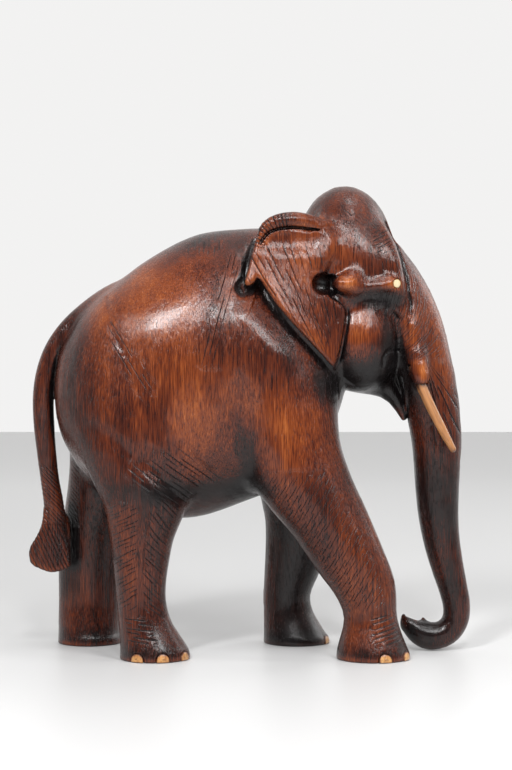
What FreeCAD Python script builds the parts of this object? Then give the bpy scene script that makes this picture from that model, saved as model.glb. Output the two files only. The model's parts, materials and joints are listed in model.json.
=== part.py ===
# Carved wooden elephant, standing in mid stride: one block of rosewood with
# inlaid eyes, inlaid toenails and two push-in tusks.
# Millimetres.  +X is the way the elephant faces, +Y its left side, +Z up.
# Origin: bottom centre of the bounding box, so the four soles rest on z = 0.
import FreeCAD, Part
import Sketcher
import math
import os

V = FreeCAD.Vector
os.makedirs("parts", exist_ok=True)
doc = FreeCAD.newDocument("carved_elephant")

# ---------------------------------------------------------------- dimensions
dims = doc.addObject("Spreadsheet::Sheet", "dims")
dims.Label = "dims"
row = [1]


def cell(alias, value, note=""):
    """One driving dimension: its name, its value and what it is."""
    r = row[0]
    dims.set("A%d" % r, note or alias.replace("_", " "))
    dims.set("B%d" % r, "%g" % value)
    dims.setAlias("B%d" % r, alias)
    row[0] += 1
    return alias


def table(prefix, columns, rows):
    """A table of sections: one row of cells for each section."""
    for i, values in enumerate(rows, 1):
        for name, value in zip(columns, values):
            cell("%s%d_%s" % (prefix, i, name), value,
                 "%s, section %d, %s" % (prefix.replace("_", " "), i, name))


cell("tusk_root_radius", 4.3, "tusk radius where it leaves the socket")
cell("tusk_mid_radius", 3.9, "tusk radius half way down")
cell("tusk_tip_radius", 2.5, "tusk radius at the blunt tip")
cell("tusk_length", 63, "tusk length outside the socket")
cell("tusk_bow", 1.6, "bow of the tusk off its chord")
cell("peg_radius", 2.95, "tusk peg radius")
cell("peg_length", 16, "tusk peg length, from its shoulder")
cell("bore_radius", 3.0, "tusk bore radius: 0.05 running clearance")
cell("bore_depth", 16.8, "tusk bore depth, from the counterbore floor")
cell("mouth_radius", 5.4, "counterbore the tusk root sits in, radius")
cell("mouth_depth", 2.6, "counterbore depth")
cell("shoulder_gap", 0.35, "gap between tusk shoulder and counterbore floor")
cell("eye_radius", 3.6, "eye inlay radius")
cell("eye_depth", 3.0, "eye inlay thickness")
cell("eye_proud", 0.5, "how far the eye inlay stands out of the eyelid")
cell("nail_width", 11.0, "toenail inlay width")
cell("nail_height", 7.4, "toenail inlay height")
cell("nail_thick", 3.4, "toenail inlay thickness")
cell("nail_lift", 0.4, "gap between a toenail and the surface stood on")
cell("glue_gap", 0.06, "glue line around every inlay")
cell("ear_thick", 21.0, "ear slab thickness, its root buried in the neck")
cell("ear_turn", 11.3, "how far the ear's trailing edge turns outward, degrees")
cell("ear_front_x", 75.0, "ear root, distance forward")
cell("ear_face_y", 60.0, "ear outer face at its root, from the middle plane")
cell("rear_foot_y", 46.0, "middle of the rear feet, from the middle plane")
cell("front_foot_y", 46.0, "middle of the front feet, from the middle plane")

# Trunk of the body: upright elliptic sections from the rump to the chest.
table("torso", ("x", "z", "rz", "ry"), [
    (-168.0, 222, 12, 10),
    (-162.0, 222, 38, 30),
    (-146.0, 221, 66, 49),
    (-120.0, 220, 90, 62),
    (-88.0, 226, 109, 69),
    (-48.0, 235.5, 120, 73),
    (-8.0, 244.5, 117, 73.5),
    (30.0, 252, 108, 69),
    (58.0, 257, 91, 57),
    (74.0, 261, 62, 42),
    (82.0, 262, 22, 16)])

# Head: dome, cheeks, brows, cheek bones and the sheath each tusk grows from.
table("head", ("x", "y", "z", "rx", "ry", "rz"), [
    (80, 0, 342, 45, 44, 57),       # dome
    (86, 0, 287, 48, 47, 64),       # cheeks
    (113, 30, 318, 18, 13, 30),     # brow, over the eye
    (82, 44, 311, 13, 8, 9)])       # cheek bone

# Proboscis: sections square to its middle line, in the middle plane.
# x, z: middle.  tilt: the way the line runs, degrees below the horizon
# towards +X.  ra, rb: half thickness in the middle plane and across it.
table("proboscis", ("x", "z", "tilt", "ra", "rb"), [
    (104, 318, 52, 37, 34),
    (126, 290, 58, 33, 29),
    (141, 262, 66, 28, 26),
    (151, 232, 74, 25, 23.5),
    (158, 198, 82, 22.5, 21.5),
    (160, 163, 90, 20.2, 19.8),
    (160, 128, 89, 18.2, 18),
    (163.3, 96, 80, 15.8, 15.6),
    (171, 63, 74, 13.2, 13.1),
    (176.5, 42, 84, 11.6, 11.5),
    (175.8, 27, 112, 11.2, 11.1),
    (168.5, 16.2, 148, 11.4, 11.2),
    (156.5, 13.2, 182, 11.2, 11),
    (144.0, 16.0, 212, 9.8, 9.6),
    (135.4, 23.0, 228, 6.6, 6.5)])

# Tail: sections square to its middle line.  y: swing towards the left leg.
table("tail", ("x", "y", "z", "tilt", "ra", "rb"), [
    (-104, 0, 302, 160, 11, 11),
    (-118, 0, 303.5, 150, 11.6, 11.6),
    (-137, 0, 292, 140, 10.6, 10.6),
    (-155, 0, 276, 133, 10, 10),
    (-167.5, 0, 260, 124, 9.6, 9.6),
    (-175, 0, 244, 112, 9.4, 9.4),
    (-178.4, 0, 222, 97, 9.2, 9),
    (-178.2, 1, 197, 88, 9.0, 8.8),
    (-175.6, 2, 165, 85, 8.2, 8),
    (-171.5, 4, 136, 82, 8.6, 8.2),
    (-169.4, 6, 114, 92, 9.6, 9.4),
    (-171.6, 8, 96, 98, 13.0, 12.2),
    (-173.0, 9, 80, 94, 16.2, 13.0),
    (-171.4, 10, 69, 88, 12.0, 10.0)])

# Legs: level elliptic sections from the sole up into the body.
LEGS = {
    "right_rear": ("rear_foot_y", -1, [
        (0, -80, 29, 28, 0), (8, -81.5, 28.2, 27, 0), (22, -85.5, 24.4, 23.6, 0),
        (46, -91, 20.8, 20.4, 0), (75, -92, 22.6, 22, 0), (100, -91, 27, 25, 0),
        (125, -88, 35, 29, 1), (160, -92, 46, 34, 5), (205, -98, 47, 34, 12),
        (240, -98, 38, 26, 20), (262, -98, 16, 12, 24)]),
    "left_rear": ("rear_foot_y", 1, [
        (0, -142.5, 28, 27.5, 0), (8, -143.2, 27.6, 26.5, 0), (22, -143.4, 27.2, 23.8, 0),
        (46, -143.2, 27.4, 21.6, 0), (75, -142.2, 28.2, 22.6, 0), (100, -139.4, 29, 25, 0),
        (125, -133, 32, 28, 1), (160, -122, 40, 33, 6), (205, -112, 44, 34, 12),
        (240, -106, 36, 26, 20), (262, -104, 16, 12, 24)]),
    "right_front": ("front_foot_y", -1, [
        (0, 102, 30.5, 29, 0), (8, 101.5, 29.2, 28, 0), (22, 100.5, 24.8, 24.4, 0),
        (40, 99, 22.4, 21.6, 0), (66, 91, 29, 24, 0), (100, 71.5, 35.5, 27, 1),
        (126, 55, 41, 30, 3), (160, 38, 43, 33, 6), (205, 32, 38, 33, 11),
        (240, 32, 32, 25, 20), (264, 32, 14, 12, 26)]),
    "left_front": ("front_foot_y", 1, [
        (0, 40, 29, 28.4, 0), (8, 38, 27.2, 26.8, 0), (22, 34.2, 23.4, 23, 0),
        (40, 31.5, 21, 20.6, 0), (66, 36.5, 25, 23, 0), (100, 45, 33, 27, 1),
        (126, 46, 38, 30, 3), (160, 42, 41, 33, 6), (205, 34, 38, 33, 11),
        (240, 34, 32, 25, 20), (264, 34, 14, 12, 26)])}
for leg, (_foot, _side, rows) in LEGS.items():
    table(leg, ("z", "x", "rx", "ry", "inset"), rows)

# Toenails: the compass angle of each one on its foot, from straight out
# sideways (0) towards the front (90).
NAILS = {"front": (17, 64, 110), "rear": (-28, 17, 63)}
for end, angles in NAILS.items():
    for i, a in enumerate(angles, 1):
        cell("%s_nail%d_angle" % (end, i), a, "%s toenail %d, angle" % (end, i))
doc.recompute()


# ------------------------------------------------------------------- helpers
def add(kind, name, **expressions):
    """A document object whose properties follow cells of the sheet."""
    obj = doc.addObject(kind, name)
    obj.Label = name
    for prop, expr in expressions.items():
        obj.setExpression(prop.replace("__", "."), expr)
    return obj


def at(obj, x, y, z, rot=None):
    """Place an object; each coordinate is a cell, an expression or a number."""
    if rot is not None:
        obj.Placement = FreeCAD.Placement(V(0, 0, 0), rot)
    for axis, value in zip("xyz", (x, y, z)):
        obj.setExpression("Placement.Base." + axis, str(value))
    return obj


def loft(name, sections):
    obj = doc.addObject("Part::Loft", name)
    obj.Label = name
    obj.Sections = sections
    obj.Solid = True
    obj.Ruled = False
    return obj


def fuse(name, shapes):
    obj = doc.addObject("Part::MultiFuse", name)
    obj.Label = name
    obj.Shapes = shapes
    return obj


def cut(name, base, tool):
    obj = doc.addObject("Part::Cut", name)
    obj.Label = name
    obj.Base = base
    obj.Tool = tool
    return obj


def frame(direction, side):
    """A rotation that sends local Z along direction and local X near side."""
    z = V(*direction).normalize()
    y = z.cross(V(*side)).normalize()
    x = y.cross(z)
    return FreeCAD.Rotation(x, y, z, "ZXY")


def count(prefix, first):
    n = 1
    while dims.getContents("A1") and hasattr(dims, "%s%d_%s" % (prefix, n, first)):
        n += 1
    return n - 1


# ---------------------------------------------------------------- torso block
sections = []
for i in range(1, count("torso", "x") + 1):
    e = add("Part::Ellipse", "torso_ring_%d" % i,
            MajorRadius="dims.torso%d_rz" % i, MinorRadius="dims.torso%d_ry" % i)
    at(e, "dims.torso%d_x" % i, 0, "dims.torso%d_z" % i,
       FreeCAD.Rotation(V(0, 0, 1), V(0, -1, 0), V(1, 0, 0), "ZXY"))
    sections.append(e)
torso = loft("torso", sections)

# -------------------------------------------------------------------- head
head_parts = []
for i, (label, sides) in enumerate((("dome", (0,)), ("cheeks", (0,)),
                                    ("brow", (-1, 1)), ("cheek_bone", (-1, 1))), 1):
    for side in sides:
        name = label if side == 0 else ("right_" if side < 0 else "left_") + label
        e = add("Part::Ellipsoid", name, Radius1="dims.head%d_rz" % i,
                Radius2="dims.head%d_rx" % i, Radius3="dims.head%d_ry" % i)
        e.Angle1, e.Angle2, e.Angle3 = -90, 90, 360
        at(e, "dims.head%d_x" % i,
           "%d * dims.head%d_y" % (side, i) if side else 0, "dims.head%d_z" % i)
        head_parts.append(e)

# Lower lip: it runs down and forward to a point behind the proboscis.
lip_rings = []
for i, (x, z, tilt, ra, rb) in enumerate(((96, 246, 46, 27, 25), (112, 227, 52, 16, 15),
                                          (122, 213, 56, 9.5, 9), (130.2, 200, 58, 3, 3)), 1):
    for name, value in zip(("x", "z", "tilt", "ra", "rb"), (x, z, tilt, ra, rb)):
        cell("lip%d_%s" % (i, name), value)
    ring = add("Part::Ellipse", "lip_ring_%d" % i,
               MajorRadius="dims.lip%d_ra" % i, MinorRadius="dims.lip%d_rb" % i)
    t = math.radians(tilt)
    at(ring, "dims.lip%d_x" % i, 0, "dims.lip%d_z" % i,
       frame((math.cos(t), 0, -math.sin(t)), (math.sin(t), 0, math.cos(t))))
    lip_rings.append(ring)
lip = loft("lower_lip", lip_rings)


def along(prefix, with_y):
    """Rings square to a middle line that runs in (or near) the middle plane."""
    rings = []
    for i in range(1, count(prefix, "x") + 1):
        ring = add("Part::Ellipse", "%s_ring_%d" % (prefix, i),
                   MajorRadius="dims.%s%d_ra" % (prefix, i),
                   MinorRadius="dims.%s%d_rb" % (prefix, i))
        t = math.radians(float(dims.get("%s%d_tilt" % (prefix, i))))
        at(ring, "dims.%s%d_x" % (prefix, i),
           "dims.%s%d_y" % (prefix, i) if with_y else 0,
           "dims.%s%d_z" % (prefix, i),
           frame((math.cos(t), 0, -math.sin(t)), (math.sin(t), 0, math.cos(t))))
        rings.append(ring)
    return rings


proboscis = loft("proboscis", along("proboscis", False))
tail = loft("tail", along("tail", True))

# -------------------------------------------------------------------- legs
legs = []
for leg, (foot, side, rows) in LEGS.items():
    rings = []
    for i in range(1, len(rows) + 1):
        p = "dims.%s%d_" % (leg, i)
        ring = add("Part::Ellipse", "%s_ring_%d" % (leg, i),
                   MajorRadius=p + "rx", MinorRadius=p + "ry")
        at(ring, p + "x", "%d * (dims.%s - %sinset)" % (side, foot, p), p + "z")
        rings.append(ring)
    legs.append(loft(leg + "_leg", rings))

# -------------------------------------------------------------------- ears
# Outline of the ear, seen from the side: distance behind the root, height.
EAR = [(8, 332), (18, 352), (30, 368), (42, 370.5), (52, 368.5), (61, 363),
       (67.5, 357), (72.5, 348), (76, 336.5), (78, 325), (82, 313), (77.5, 311),
       (68, 315), (55, 295), (40, 278), (26, 264), (7, 244),
       (3.5, 256), (0.5, 272), (-2.5, 288), (-1, 297), (10, 304),
       (24, 314), (20, 320), (4, 322)]
ears = []
for side, name in ((-1, "right_ear"), (1, "left_ear")):
    outline = doc.addObject("Sketcher::SketchObject", name + "_outline")
    points = [V(-a, b, 0) for a, b in EAR]
    for a, b in zip(points, points[1:] + points[:1]):
        outline.addGeometry(Part.LineSegment(a, b), False)
    n = len(points)
    for i in range(n):
        outline.addConstraint(Sketcher.Constraint("Coincident", i, 2, (i + 1) % n, 1))
    turn = float(dims.get("ear_turn"))
    rot = FreeCAD.Rotation(V(0, 0, 1), -side * turn).multiply(
        FreeCAD.Rotation(V(1, 0, 0), 90))
    at(outline, "dims.ear_front_x",
       "%d * (dims.ear_face_y%s)" % (side, "" if side < 0 else " - dims.ear_thick"),
       0, rot)
    slab = doc.addObject("Part::Extrusion", name)
    slab.Label = name
    slab.Base = outline
    slab.DirMode = "Normal"
    slab.Solid = True
    # the sketch's normal looks to -Y, so the slab grows inward from its face
    if side < 0:
        slab.LengthRev = float(dims.get("ear_thick"))
        slab.setExpression("LengthRev", "dims.ear_thick")
        slab.LengthFwd = 0
    else:
        slab.LengthFwd = 0
        slab.LengthRev = float(dims.get("ear_thick"))
        slab.setExpression("LengthRev", "dims.ear_thick")
    ears.append(slab)

# ------------------------------------------------------------ tusk positions
# The socket mouth and the way the tusk points, for the right side.
cell("tusk_x", 143.6, "socket mouth, forward")
cell("tusk_y", 28.5, "socket mouth, from the middle plane")
cell("tusk_z", 228.0, "socket mouth, height")
TUSK_DIR = (0.436, -0.100, -0.894)
cell("sheath1_back", 50)
cell("sheath2_back", 34)
cell("sheath3_back", 16)
cell("sheath4_back", 4)
cell("sheath5_back", 0)
cell("sheath1_r", 17)
cell("sheath2_r", 14.5)
cell("sheath3_r", 11)
cell("sheath4_r", 8.8)
cell("sheath5_r", 7.2)
doc.recompute()

sheaths, bores, tusks = [], [], []
for side, tag in ((-1, "right"), (1, "left")):
    d = V(TUSK_DIR[0], -side * TUSK_DIR[1], TUSK_DIR[2]).normalize()
    rot = frame(d, (1, 0, 0))

    def on_axis(obj, s, off="0"):
        """Place an object on the tusk axis, s past the mouth, off to the side."""
        q = rot.multVec(V(1, 0, 0))
        obj.Placement = FreeCAD.Placement(V(0, 0, 0), rot)
        base = ("dims.tusk_x", "%d * dims.tusk_y" % side, "dims.tusk_z")
        for axis, b, dv, qv in zip("xyz", base, d, q):
            obj.setExpression("Placement.Base." + axis,
                              "%s + (%s) * %.6f + (%s) * %.6f" % (b, s, dv, off, qv))
        return obj

    # sheath: the swelling of the lip that the tusk grows out of
    rings = []
    for i in range(1, 6):
        ring = add("Part::Ellipse", "%s_sheath_ring_%d" % (tag, i),
                   MajorRadius="dims.sheath%d_r" % i, MinorRadius="dims.sheath%d_r" % i)
        on_axis(ring, "-dims.sheath%d_back" % i)
        rings.append(ring)
    sheaths.append(loft(tag + "_tusk_sheath", rings))

    bore = add("Part::Cylinder", tag + "_tusk_bore", Radius="dims.bore_radius",
               Height="dims.bore_depth + 1")
    on_axis(bore, "-dims.mouth_depth - dims.bore_depth")
    mouth = add("Part::Cylinder", tag + "_tusk_mouth", Radius="dims.mouth_radius",
                Height="dims.mouth_depth + 12")
    on_axis(mouth, "-dims.mouth_depth")
    bores += [bore, mouth]

    # tusk: a slightly bowed taper with a blunt tip, and a straight round peg
    rings = []
    start = "(dims.shoulder_gap - dims.mouth_depth)"
    for i, (t, r) in enumerate(((0.0, "dims.tusk_root_radius"),
                                (0.12, "dims.tusk_root_radius"),
                                (0.35, "dims.tusk_root_radius - 0.12"),
                                (0.6, "dims.tusk_mid_radius"),
                                (0.82, "(dims.tusk_mid_radius + dims.tusk_tip_radius) / 2 + 0.2"),
                                (0.97, "dims.tusk_tip_radius + 0.2"),
                                (1.0, "dims.tusk_tip_radius - 0.6")), 1):
        ring = add("Part::Ellipse", "%s_tusk_ring_%d" % (tag, i), MajorRadius=r, MinorRadius=r)
        bow = max(0.0, 1 - ((t - 0.55) / 0.45) ** 2) if t > 0.1 else 0.0
        on_axis(ring, "%s + %g * (dims.tusk_length - %s)" % (start, t, start),
                "-dims.tusk_bow * %g" % bow)
        rings.append(ring)
    shaft = loft(tag + "_tusk_shaft", rings)
    peg = add("Part::Cylinder", tag + "_tusk_peg", Radius="dims.peg_radius",
              Height="dims.peg_length + 2")
    on_axis(peg, "%s - dims.peg_length" % start)
    tusks.append(fuse(tag + "_tusk", [shaft, peg]))

# -------------------------------------------------------------------- eyes
EYE_AT = (122.4, 40.9, 313.0)
EYE_DIR = (0.41, -0.905, -0.08)
for name, value in zip(("eye_x", "eye_y", "eye_z"), EYE_AT):
    cell(name, value)
doc.recompute()
eyes, eye_pockets = [], []
for side, tag in ((-1, "right"), (1, "left")):
    d = V(EYE_DIR[0], -side * EYE_DIR[1], EYE_DIR[2]).normalize()
    for kind, radius, store in (("eye", "dims.eye_radius", eyes),
                                ("eye_pocket", "dims.eye_radius + dims.glue_gap", eye_pockets)):
        deep = "dims.eye_depth" if kind == "eye" else "dims.eye_depth + 8"
        obj = add("Part::Cylinder", "%s_%s" % (tag, kind), Radius=radius, Height=deep)
        obj.Placement = FreeCAD.Placement(V(0, 0, 0), frame(d, (0, 0, 1)))
        back = "(dims.eye_proud - dims.eye_depth)"
        base = ("dims.eye_x", "%d * dims.eye_y" % side, "dims.eye_z")
        for axis, b, dv in zip("xyz", base, d):
            obj.setExpression("Placement.Base." + axis, "%s + %s * %.6f" % (b, back, dv))
        store.append(obj)
rounded_eyes = []
for obj, tag in zip(eyes, ("right", "left")):
    obj.Label = tag + "_eye_blank"
    doc.recompute()
    edge = doc.addObject("Part::Fillet", tag + "_eye")
    edge.Label = tag + "_eye"
    edge.Base = obj
    # the outer rim of the disc
    far = max(range(len(obj.Shape.Edges)), key=lambda k: (
        len(obj.Shape.Edges[k].Vertexes) == 1)
        * (obj.Shape.Edges[k].CenterOfMass - obj.Placement.Base).Length)
    edge.Edges = [(far + 1, 0.8, 0.8)]
    rounded_eyes.append(edge)

# ------------------------------------------------------------------ toenails
nails, nail_pockets = [], []


def arch(obj, w, hgt, low):
    """An arch: flat bottom edge, upright sides and a round top."""
    half = w / 2.0
    spring = hgt - half
    obj.addGeometry(Part.LineSegment(V(-half, low, 0), V(half, low, 0)), False)
    obj.addGeometry(Part.LineSegment(V(half, low, 0), V(half, spring, 0)), False)
    obj.addGeometry(Part.ArcOfCircle(Part.Circle(V(0, spring, 0), V(0, 0, 1), half),
                                     0, math.pi), False)
    obj.addGeometry(Part.LineSegment(V(-half, spring, 0), V(-half, low, 0)), False)
    for first, a, second, b in ((0, 2, 1, 1), (1, 2, 2, 1), (2, 2, 3, 1), (3, 2, 0, 1)):
        obj.addConstraint(Sketcher.Constraint("Coincident", first, a, second, b))
    obj.addConstraint(Sketcher.Constraint("Horizontal", 0))
    obj.addConstraint(Sketcher.Constraint("Vertical", 1))
    obj.addConstraint(Sketcher.Constraint("Vertical", 3))
    obj.addConstraint(Sketcher.Constraint("PointOnObject", 2, 3, -2))
    obj.addConstraint(Sketcher.Constraint("DistanceX", 0, 1, 0, 2, w))
    obj.addConstraint(Sketcher.Constraint("DistanceY", -1, 1, 0, 1, low))
    obj.addConstraint(Sketcher.Constraint("DistanceY", -1, 1, 2, 3, spring))
    return 8, 9, 10


for leg, (foot, side, rows) in LEGS.items():
    end = leg.split("_")[1]
    cx, rx, ry = rows[0][1], rows[0][2], rows[0][3]
    rx1, ry1, cx1 = rows[1][2], rows[1][3], rows[1][1]
    for i, angle in enumerate(NAILS[end], 1):
        a = math.radians(angle)
        # outward direction, and the foot's surface there, half way up the nail
        u = V(math.sin(a), side * math.cos(a), 0)
        mx, my = (rx + rx1) / 2.0, (ry + ry1) / 2.0
        reach = 1.0 / math.sqrt((u.x / mx) ** 2 + (u.y / my) ** 2)
        p = V((cx + cx1) / 2.0, side * float(dims.get(foot)), 0) + u * reach
        g = V(u.x / mx ** 2, u.y / my ** 2, 0).normalize()
        rot = FreeCAD.Rotation(V(0, 0, 1).cross(g), V(0, 0, 1), g, "ZYX")
        name = "%s_nail_%d" % (leg, i)

        body = doc.addObject("PartDesign::Body", name)
        body.Label = name
        sk = doc.addObject("Sketcher::SketchObject", name + "_outline")
        body.addObject(sk)
        ids = arch(sk, float(dims.get("nail_width")), float(dims.get("nail_height")),
                   float(dims.get("nail_lift")))
        sk.setExpression("Constraints[%d]" % ids[0], "dims.nail_width")
        sk.setExpression("Constraints[%d]" % ids[1], "dims.nail_lift")
        sk.setExpression("Constraints[%d]" % ids[2], "dims.nail_height - dims.nail_width / 2")
        pad = doc.addObject("PartDesign::Pad", name + "_pad")
        body.addObject(pad)
        pad.Profile = sk
        pad.setExpression("Length", "dims.nail_thick")
        body.Tip = pad
        inner = p + g * (0.35 - float(dims.get("nail_thick")))
        body.Placement = FreeCAD.Placement(inner, rot)
        nails.append(body)

        sk2 = doc.addObject("Sketcher::SketchObject", name + "_pocket_outline")
        ids = arch(sk2, float(dims.get("nail_width")) + 0.12,
                   float(dims.get("nail_height")) + 0.06, -1.0)
        sk2.setExpression("Constraints[%d]" % ids[0], "dims.nail_width + 2 * dims.glue_gap")
        sk2.setExpression("Constraints[%d]" % ids[2],
                          "dims.nail_height - dims.nail_width / 2")
        sk2.Placement = FreeCAD.Placement(inner, rot)
        pocket = doc.addObject("Part::Extrusion", name + "_pocket")
        pocket.Label = name + "_pocket"
        pocket.Base = sk2
        pocket.DirMode = "Normal"
        pocket.Solid = True
        pocket.LengthFwd = 10
        nail_pockets.append(pocket)

# ------------------------------------------------------------- carved block
block = fuse("block", [torso, proboscis, tail, lip] + head_parts + legs + ears + sheaths)
tools = fuse("pockets", bores + eye_pockets + nail_pockets)
carved = cut("carved_body", block, tools)
doc.recompute()

# ------------------------------------------------------------- check, export
finals = [carved] + tusks + rounded_eyes + nails
bad = []
for obj in doc.Objects:
    if "Invalid" in obj.State or "Error" in obj.State:
        bad.append((obj.Name, obj.State))
for obj in finals:
    if obj.Shape.isNull() or not obj.Shape.isValid():
        bad.append((obj.Name, "null or invalid shape"))
if bad:
    raise RuntimeError("faulty objects: %s" % bad)

for obj in finals:
    shape = obj.Shape
    if len(shape.Solids) != 1:
        raise RuntimeError("%s has %d solids" % (obj.Label, len(shape.Solids)))
    shape.exportStep("parts/%s.step" % obj.Label)
    b = shape.BoundBox
    print("%-22s x %.1f..%.1f  y %.1f..%.1f  z %.1f..%.1f  vol %.0f" % (
        obj.Label, b.XMin, b.XMax, b.YMin, b.YMax, b.ZMin, b.ZMax, shape.Volume))
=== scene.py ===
# Carved wooden elephant: the finished look of the figure.
# The block is sculpted as a distance field in millimetres, in the row frame
# (+X the way it faces, +Y its left, +Z up), and meshed; the inlays and tusks
# are separate pieces.
import json
import math
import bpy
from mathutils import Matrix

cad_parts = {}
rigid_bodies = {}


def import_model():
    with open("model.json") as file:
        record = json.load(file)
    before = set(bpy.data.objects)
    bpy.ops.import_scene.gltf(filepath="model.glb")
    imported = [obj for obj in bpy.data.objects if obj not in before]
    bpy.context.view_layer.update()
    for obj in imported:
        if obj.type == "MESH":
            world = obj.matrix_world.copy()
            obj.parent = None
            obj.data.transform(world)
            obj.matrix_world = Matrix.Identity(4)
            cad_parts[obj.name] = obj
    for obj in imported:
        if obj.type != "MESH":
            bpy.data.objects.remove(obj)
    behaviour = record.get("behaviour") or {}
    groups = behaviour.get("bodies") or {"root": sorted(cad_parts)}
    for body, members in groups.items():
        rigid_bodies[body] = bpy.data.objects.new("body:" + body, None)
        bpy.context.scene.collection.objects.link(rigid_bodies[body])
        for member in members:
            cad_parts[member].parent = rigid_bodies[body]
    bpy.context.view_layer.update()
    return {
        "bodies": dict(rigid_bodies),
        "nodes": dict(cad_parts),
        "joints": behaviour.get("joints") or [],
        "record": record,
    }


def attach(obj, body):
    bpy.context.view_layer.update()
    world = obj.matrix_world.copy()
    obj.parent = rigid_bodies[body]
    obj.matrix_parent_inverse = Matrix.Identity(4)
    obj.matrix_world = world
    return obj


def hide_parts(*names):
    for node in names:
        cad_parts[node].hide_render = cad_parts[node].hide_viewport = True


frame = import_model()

from concurrent.futures import ThreadPoolExecutor

import bpy
import numpy as np
import openvdb
from mathutils import Matrix, Vector

F = np.float32

# ------------------------------------------------------------ field helpers
def smin(a, b, k):
    h = np.clip(0.5 + 0.5 * (b - a) / k, 0, 1)
    return b + (a - b) * h - k * h * (1 - h)


def smax(a, b, k):
    return -smin(-a, -b, k)


def spline(points, n=24):
    """A smooth curve through rows of numbers (uniform Catmull-Rom)."""
    p = np.asarray(points, float)
    p = np.vstack([2 * p[0] - p[1], p, 2 * p[-1] - p[-2]])
    out = []
    for i in range(1, len(p) - 2):
        p0, p1, p2, p3 = p[i - 1:i + 3]
        t = np.linspace(0, 1, n, endpoint=False)[:, None]
        out.append(0.5 * ((2 * p1) + (p2 - p0) * t + (2 * p0 - 5 * p1 + 4 * p2 - p3) * t ** 2
                          + (3 * p1 - p0 - 3 * p2 + p3) * t ** 3))
    return np.vstack(out + [p[-2][None]])


def within(P, lo, hi):
    m = np.ones(len(P), bool)
    for i in range(3):
        if lo[i] is not None:
            m &= P[:, i] > lo[i]
        if hi[i] is not None:
            m &= P[:, i] < hi[i]
    return np.nonzero(m)[0]


def ellipsoid(P, c, r, rot=None):
    q = P - np.asarray(c, F)
    if rot is not None:
        q = q @ np.asarray(rot, F)
    r = np.asarray(r, F)
    a = q / r
    k0 = np.sqrt(np.einsum("ij,ij->i", a, a)) + 1e-6
    b = a / r
    k1 = np.sqrt(np.einsum("ij,ij->i", b, b)) + 1e-6
    return k0 * (k0 - 1.0) / k1


def blob(P, c, r, power):
    """A boxier ellipsoid: the higher the power, the squarer."""
    q = np.abs(P - np.asarray(c, F)) / np.asarray(r, F)
    s = (q ** power).sum(1) ** (1.0 / power) + 1e-6
    return (s - 1.0) * float(np.min(r))


def turn_y(deg):
    """Columns are the local axes; local Z leans towards +X by deg."""
    t = math.radians(deg)
    return np.array([[math.cos(t), 0, math.sin(t)], [0, 1, 0], [-math.sin(t), 0, math.cos(t)]])


def rounded_cone(P, a, b, ra, rb):
    """Distance to a straight taper with ball ends."""
    a, b = np.asarray(a, F), np.asarray(b, F)
    ba = b - a
    L = float(np.sqrt(ba @ ba)) + 1e-6
    u = ba / L
    q = P - a
    x = q @ u
    y = np.sqrt(np.maximum(np.einsum("ij,ij->i", q, q) - x * x, 0))
    s = (ra - rb) / L
    s = max(-0.999, min(0.999, s))
    c = math.sqrt(1 - s * s)
    k = y * s + x * c * 1.0
    t = x * c - y * s * -1.0
    # distance to the slanted side
    side = y * c + x * s - ra
    along = x * c - y * s
    d = side
    d = np.where(along < 0, np.sqrt(x * x + y * y) - ra, d)
    xe = x - L
    d = np.where(along > L * c, np.sqrt(xe * xe + y * y) - rb, d)
    return d


def chain(P, rows, scale=None):
    """A tube along a curve.  rows: x, y, z, radius."""
    d = np.full(len(P), 1e3, F)
    for r0, r1 in zip(rows[:-1], rows[1:]):
        d = np.minimum(d, rounded_cone(P, r0[:3], r1[:3], float(r0[3]), float(r1[3])))
    return d


def level(P, axis, table, ca, cb):
    """A stack of elliptic sections square to one axis.
    table columns: position, centre a, centre b, radius a, radius b."""
    t = P[:, axis]
    pos = table[:, 0]
    a0, b0, ra, rb = (np.interp(t, pos, table[:, i]).astype(F) for i in range(1, 5))
    a = (P[:, ca] - a0) / ra
    b = (P[:, cb] - b0) / rb
    q = np.sqrt(a * a + b * b) + 1e-6
    g = np.sqrt((a / ra) ** 2 + (b / rb) ** 2) / q + 1e-6
    d = (q - 1.0) / g
    over = np.maximum(pos[0] - t, t - pos[-1])
    return np.where(over > 0, np.maximum(d, over), d).astype(F)


# -------------------------------------------------------------- the block
# Barrel: x, middle height, half height, half width.
TORSO = spline([(-168.6, 222, 5, 4), (-166.5, 222, 22, 17), (-162, 222, 39, 31),
                (-154, 221.5, 54, 42), (-142, 221, 71, 53), (-120, 220.5, 91, 64),
                (-88, 226, 110, 70), (-48, 235.5, 121, 73), (-8, 244.5, 117.5, 73),
                (24, 251.5, 110, 69), (50, 257, 95, 60), (66, 260, 76, 49),
                (76, 261, 54, 37), (81, 261.5, 34, 24), (83.2, 262, 8, 6)])
TORSO = np.column_stack([TORSO[:, 0], np.zeros(len(TORSO)), TORSO[:, 1], TORSO[:, 3], TORSO[:, 2]])

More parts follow.
